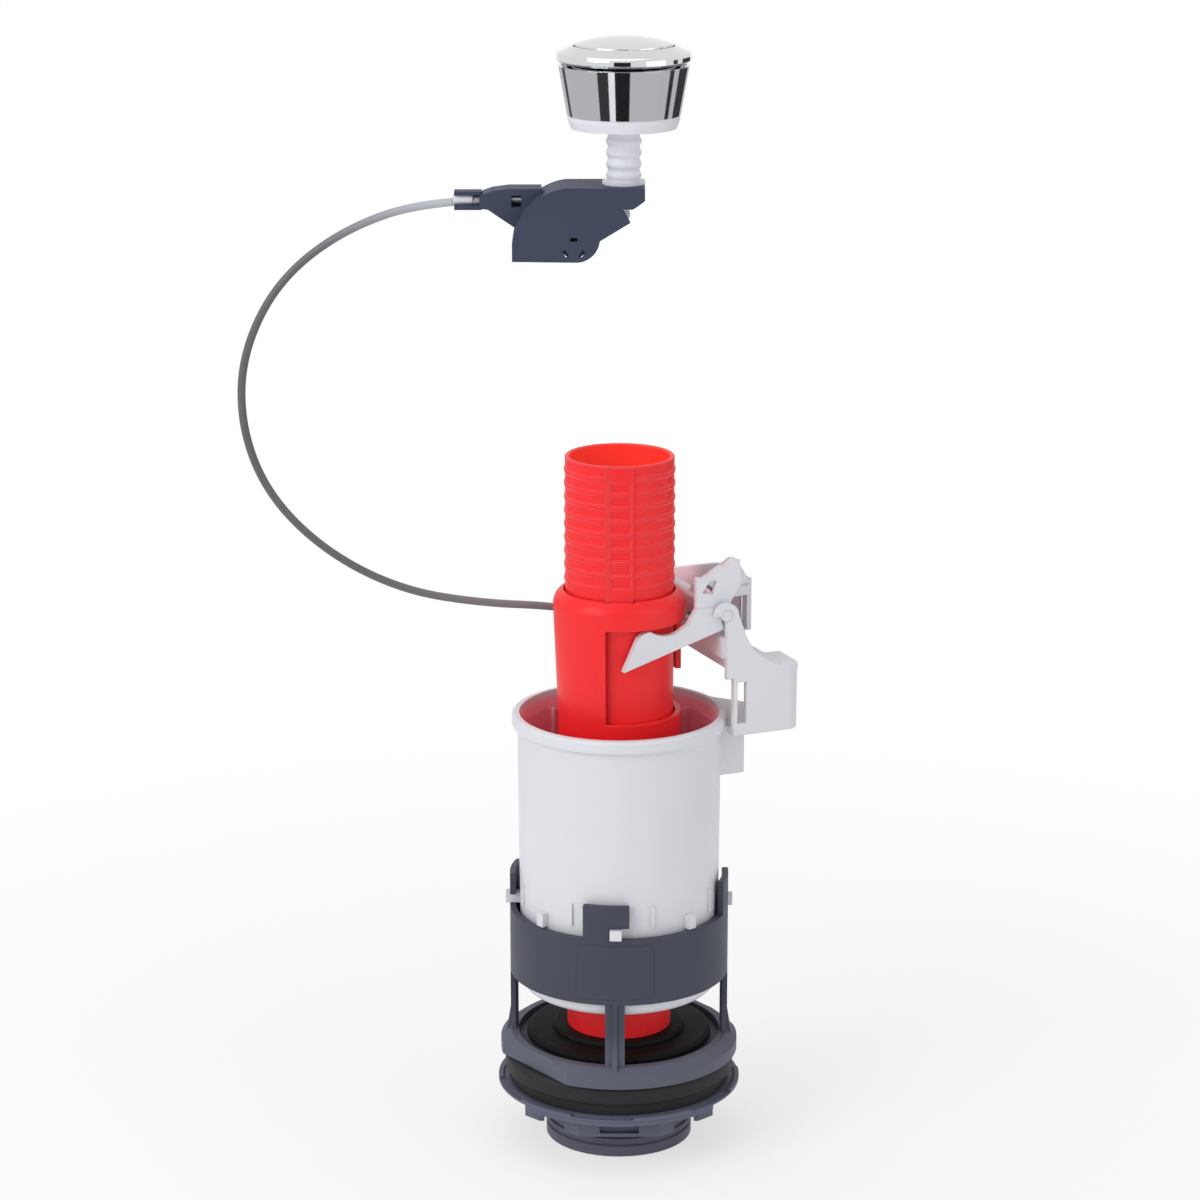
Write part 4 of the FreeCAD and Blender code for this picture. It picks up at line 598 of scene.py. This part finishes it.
def make_ladder():
    shape = bmesh.new()
    heights = [LADDER_LOW]
    for low in GRIPS:
        heights += [low + WINDOW_RISE, low + WINDOW_RISE + WINDOW_HEIGHT]
    heights = [z for z in heights if z < TUBE_TOP - 1] + [TUBE_TOP - 0.3]
    outline = [(LADDER_REACH, z) for z in heights]
    sweep(shape, outline, -LADDER_HALF, LADDER_HALF * 2, 16, closed=False)
    skin = list(shape.faces)
    back = bmesh.ops.extrude_face_region(shape, geom=skin, use_keep_orig=True)["geom"]
    inner = [v for v in back if isinstance(v, bmesh.types.BMVert)]
    share = LADDER_BACK / LADDER_REACH
    bmesh.ops.scale(shape, vec=(share, share, 1), verts=inner)
    for low in GRIPS[:-1]:
        sink_window(shape, [face for face in skin if in_window(face, low)])
    ladder = make_piece("overflow_ladder", shape, "overflow", red_plastic)
    ladder.data.materials.append(red_window_painted_light)
    return ladder


def make_rails():
    """The proud rails left of the windows, the short ribs beyond them and the lines on the right."""
    shape = bmesh.new()
    rail = [(RIB_REACH, LADDER_LOW), (RAIL_REACH, LADDER_LOW), (RAIL_REACH, TUBE_TOP)]
    rail.append((RIB_REACH, TUBE_TOP))
    for start in RAIL_STARTS:
        sweep(shape, rail, start, RAIL_WIDTH, 3)
    for low in GRIPS:
        rib = [(RIB_ROOT, low + 0.1), (RIB_REACH, low + 0.3), (RIB_REACH, low + 1.9)]
        sweep(shape, rib + [(RIB_ROOT, low + 2.1)], *RIBS, 10)
        line = [(RIB_ROOT, low + 0.9), (RIB_REACH, low + 0.95), (RIB_REACH, low + 1.25)]
        sweep(shape, line + [(RIB_ROOT, low + 1.3)], *LINES, 14)
    return make_piece("overflow_rails", shape, "overflow", red_plastic)


make_ladder()
make_rails()

# %% [markdown]
# Where the cable enters the button's housing it wears a short white sleeve. It is one more outline on a
# spin, this time about the cable's own line.


# %% Cable sleeve
SLEEVE_START = -64.5
SLEEVE_END = -56.7
SLEEVE_SLOPE = 0.3
SLEEVE_BORE = 1.62
SLEEVE_REACH = 1.95


def make_sleeve():
    shape = bmesh.new()
    middle = Vector((0, 0, CABLE_ROUTE[0][2] * MM))
    outline = [
        (SLEEVE_START, SLEEVE_BORE), (SLEEVE_START + SLEEVE_SLOPE, SLEEVE_REACH),
        (SLEEVE_END - SLEEVE_SLOPE, SLEEVE_REACH), (SLEEVE_END, SLEEVE_BORE),
    ]
    corners = [shape.verts.new((x * MM, 0, middle.z + r * MM)) for x, r in outline]
    edges = [shape.edges.new(pair) for pair in zip(corners, corners[1:] + corners[:1])]
    bmesh.ops.spin(
        shape, geom=corners + edges, cent=middle, axis=(1, 0, 0), angle=math.tau, steps=32,
        use_merge=True,
    )
    return make_piece("cable_sleeve", shape, "cup", stem_plastic)


make_sleeve()

# %% [markdown]
# Some mouldings differ a little from their solids: the lever's sector ends lower, so its wire's nipple
# sits lower too, and the lift tube has a slimmer ledge and a longer tongue. Here a copy of the solid is
# cut by a plane, turned about the pin, or has some of its points moved, and then stands for it.


# %% Reshaped copies
PIN = Vector((31.297, 13.285, 223)) * MM
PIN_LINE = Vector((-math.sin(BRACKET_TURN), math.cos(BRACKET_TURN), 0))
ALONG = Vector((math.cos(BRACKET_TURN), math.sin(BRACKET_TURN), 0))
UP = Vector((0, 0, 1))
ON_PLANE = 1e-7
LEVER_CUT = PIN - ALONG * 2 * MM + UP * 5 * MM
LEVER_CUT_NORMAL = UP * 0.869 - ALONG * 0.495
NEAR_CHEEK = -21 * MM
NIPPLE_TURN = math.radians(18)
WRAP_TURN = math.radians(33)
LEDGE_HEIGHTS = (160.9, 181.1)
LEDGE_REACH = 24.6
SOLID_LEDGE_REACH = 27
TONGUE_END = 203.5
TONGUE_REACH = 26
TONGUE_EXTRA = 7.2


def joined_copy(node):
    shape = bmesh.new()
    shape.from_mesh(frame["nodes"][node].data)
    bmesh.ops.remove_doubles(shape, verts=shape.verts, dist=SAME_PLACE)
    return shape


def cut_away(shape, point, normal, behind=None):
    """Cut off what lies past a plane. With behind, only what lies further back is cut."""
    faces = list(shape.faces)
    if behind is not None:
        geom = list(shape.verts) + list(shape.edges) + faces
        bmesh.ops.bisect_plane(
            shape, geom=geom, dist=ON_PLANE, plane_co=PIN_LINE * behind, plane_no=PIN_LINE
        )
        faces = [face for face in shape.faces if face.calc_center_median().dot(PIN_LINE) > behind]
    edges = {edge for face in faces for edge in face.edges}
    verts = {vert for face in faces for vert in face.verts}
    geom = list(verts) + list(edges) + faces
    bmesh.ops.bisect_plane(
        shape, geom=geom, dist=ON_PLANE, plane_co=point, plane_no=normal, clear_outer=True
    )
    open_edges = [edge for edge in shape.edges if edge.is_boundary]
    bmesh.ops.holes_fill(shape, edges=open_edges, sides=0)


def slim_ledge_and_long_tongue(shape):
    for vert in shape.verts:
        reach = math.hypot(vert.co.x, vert.co.y) / MM
        height = vert.co.z / MM
        on_ledge = LEDGE_HEIGHTS[0] < height < LEDGE_HEIGHTS[1]
        if on_ledge and LEDGE_REACH < reach < SOLID_LEDGE_REACH:
            vert.co.x *= LEDGE_REACH / reach
            vert.co.y *= LEDGE_REACH / reach
        if abs(height - TONGUE_END) < 0.02 and reach < TONGUE_REACH:
            vert.co.z -= TONGUE_EXTRA * MM


lever = joined_copy("lift_lever")
cut_away(lever, LEVER_CUT, LEVER_CUT_NORMAL, behind=NEAR_CHEEK)
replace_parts(make_piece("fork_lever", lever, "lever", white_plastic), "lift_lever")

nipple = joined_copy("lower_nipple")
turned = Matrix.Rotation(NIPPLE_TURN, 3, PIN_LINE)
bmesh.ops.rotate(nipple, cent=PIN, matrix=turned, verts=nipple.verts)
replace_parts(make_piece("lever_nipple", nipple, "lever", steel), "lower_nipple")

wrap = joined_copy("lower_wire_wrap")
cut_away(wrap, PIN, UP * math.cos(WRAP_TURN) - ALONG * math.sin(WRAP_TURN))
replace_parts(make_piece("wire_wrap", wrap, "lever", steel), "lower_wire_wrap")

tube = joined_copy("lift_tube")
slim_ledge_and_long_tongue(tube)
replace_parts(make_piece("valve_tube", tube, "tube", red_plastic), "lift_tube")

# %% [markdown]
# Two small pieces have to give when the button is pressed: the return spring closes up, and the straight
# run of wire at the lever gets shorter as it is drawn into its cover. Each is a copy of its solid, with
# the loose triangles joined, and with a mesh of its own.


# %% Spring and wire copies
def giving_copy(name, node):
    shape = bmesh.new()
    shape.from_mesh(frame["nodes"][node].data)
    piece = make_piece(name, shape, "cup", steel)
    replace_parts(piece, node)
    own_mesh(piece)


giving_copy("return_spring", "button_spring")
giving_copy("lever_wire", "lower_wire_run")

# %% [markdown]
# Numbers stand between the fine lines, so that the fitter can read the height. Letters are easiest as a
# text object, but flat text can't stand on a round wall: it is turned into a mesh, and then each point
# is carried round the tube, its sideways place becoming an angle.


# %% Numbers on the tube
NUMBER_ANGLE = 30
NUMBER_RISE = 2.0
NUMBER_SIZE = 4.2


def wrapped_number(shape, word, angle, height):
    data = bpy.data.curves.new("word", "FONT")
    data.body = word
    data.size = NUMBER_SIZE * MM
    data.extrude = 0.22 * MM
    data.offset = 0.04 * MM
    data.resolution_u = 2
    data.align_x = "CENTER"
    letter = bpy.data.objects.new("word", data)
    bpy.context.scene.collection.objects.link(letter)
    flat = letter.evaluated_get(bpy.context.evaluated_depsgraph_get())
    mesh = bpy.data.meshes.new_from_object(flat)
    part = bmesh.new()
    part.from_mesh(mesh)
    for vert in part.verts:
        turn = math.radians(angle - 90) + vert.co.x / (TUBE_REACH * MM)
        reach = TUBE_REACH * MM + vert.co.z
        vert.co = (reach * math.cos(turn), reach * math.sin(turn), height * MM + vert.co.y)
    part.to_mesh(mesh)
    part.free()
    shape.from_mesh(mesh)
    bpy.data.objects.remove(letter)
    bpy.data.meshes.remove(mesh)


numbers = bmesh.new()
for step, low in enumerate(GRIPS[:-1]):
    wrapped_number(numbers, str(step + 1), NUMBER_ANGLE, low + NUMBER_RISE)
make_piece("overflow_numbers", numbers, "overflow", red_plastic)

# %% [markdown]
# Light comes last. The photograph is a product shot on white: soft light from all round, a little more
# from above and from the left. The world gives the even part, and three large lamps give the rest a
# direction. The world looks white to the eye and in mirrors, and lights the valve with less than that.


# %% Light and floor
WORLD_LIGHT = 0.56
MIDDLE = (0, 0, 0.22)
FLOOR_SIZE = 14
FLOOR_HEIGHT = -0.0005


def make_world():
    world = bpy.data.worlds.new("studio")
    world.use_nodes = True
    bpy.context.scene.world = world
    graph = Graph(world.node_tree)
    backdrop = world.node_tree.nodes["Background"]
    seen = graph.node("LightPath", output="Is Camera Ray")
    for ray in ("Is Glossy Ray", "Is Transmission Ray"):
        seen = seen.maths("MAXIMUM", seen, graph.node("LightPath", output=ray))
    limits = {"Value": seen, "To Min": WORLD_LIGHT, "To Max": 1.0}
    graph.feed(backdrop.inputs["Strength"], graph.node("MapRange", {}, limits))
    graph.feed(backdrop.inputs["Color"], rgba(1, 1, 1))


def make_lamp(name, place, target, size, power):
    data = bpy.data.lights.new(name, "AREA")
    data.size = size
    data.energy = power
    lamp = bpy.data.objects.new(name, data)
    lamp.location = place
    lamp.rotation_euler = (Vector(target) - Vector(place)).to_track_quat("-Z", "Y").to_euler()
    bpy.context.scene.collection.objects.link(lamp)


def make_stage(name, shape, material):
    mesh = bpy.data.meshes.new(name)
    shape.to_mesh(mesh)
    shape.free()
    mesh.materials.append(material)
    card = bpy.data.objects.new(name, mesh)
    bpy.context.scene.collection.objects.link(card)
    return card


def make_floor():
    """A floor that takes a soft shadow near the valve and turns plain white further off."""
    finish = Finish("floor", Roughness=1.0, Specular_IOR_Level=0.0)
    finish.out("Base Color", rgba(0.94, 0.94, 0.94))
    rays = ("Is Camera Ray", "Is Glossy Ray")
    seen = sum(finish.node("LightPath", output=ray) for ray in rays)
    far = finish.ramp(finish.reach(finish.place(), (1, 1, 1)), 0.08, 0.6)
    share = finish.spread(far, 0.62, 1.0) * seen
    white_light = finish.node("Emission", {}, {"Color": rgba(1, 1, 1), "Strength": 1.0})
    lit = Socket(finish, finish.shader.outputs["BSDF"])
    finish.show(finish.node("MixShader", {}, {0: share, 1: lit, 2: white_light}))
    shape = bmesh.new()
    bmesh.ops.create_grid(shape, x_segments=1, y_segments=1, size=FLOOR_SIZE / 2)
    bmesh.ops.translate(shape, vec=(0, 0, FLOOR_HEIGHT), verts=shape.verts)
    return make_stage("floor", shape, finish.material)


make_world()
make_lamp("lamp_left", (-1.1, -1.0, 1.0), MIDDLE, 1.0, 11)
make_lamp("lamp_right", (1.2, -0.8, 0.6), MIDDLE, 1.0, 3)
make_lamp("lamp_top", (-0.2, 0.1, 1.6), MIDDLE, 1.0, 4)
make_floor()

# %% [markdown]
# Chrome is only as interesting as what it mirrors. Round the set stands a low ring of cards that only
# reflections see: a mid grey one for the sleeve, with dark and white strips where the photograph has
# them. Each strip is an upright line swept round the axis, and the strips stand inside the grey ring.


# %% Cards for the chrome
RING_REACH = 700
STRIP_REACH = 690
STRIP_LOW = 2
COOLER = 1.03
STRIPS = [
    ("grey_ring", -70, 70, 170, 0.64, RING_REACH),
    ("grey_right", 70, 178, 330, 0.62, RING_REACH),
    ("grey_left", -178, -70, 330, 0.64, RING_REACH),
    ("dark_left", -50, -29, 260, 0.05, STRIP_REACH),
    ("white_left", -29, -17, 190, 1.1, STRIP_REACH),
    ("dark_front", -17, 11, 420, 0.02, STRIP_REACH),
    ("dark_side", 91, 102, 400, 0.05, STRIP_REACH),
    ("dark_back", 116, 150, 400, 0.05, STRIP_REACH),
    ("dark_back_left", -142, -130, 330, 0.1, STRIP_REACH),
]


def make_strip(name, start, end, high, shade, reach):
    finish = Finish(name + "_paint")
    colour = rgba(shade, shade, shade * COOLER)
    finish.show(finish.node("Emission", {}, {"Color": colour, "Strength": 1.0}))
    shape = bmesh.new()
    steps = max(2, int((end - start) / 6))
    sweep(shape, [(reach, STRIP_LOW), (reach, high)], start, end - start, steps, closed=False)
    strip = make_stage(name, shape, finish.material)
    for ray in ("camera", "diffuse", "transmission", "volume_scatter", "shadow"):
        setattr(strip, "visible_" + ray, False)


for strip in STRIPS:
    make_strip(*strip)
bpy.context.scene.view_settings.view_transform = "Standard"

# %% [markdown]
# The last step writes down how large the dressed valve is beside the bare solids, since dressing must
# not change its size, and hands the scene back to the frame's own checks.

# %% Finish
bpy.context.view_layer.update()
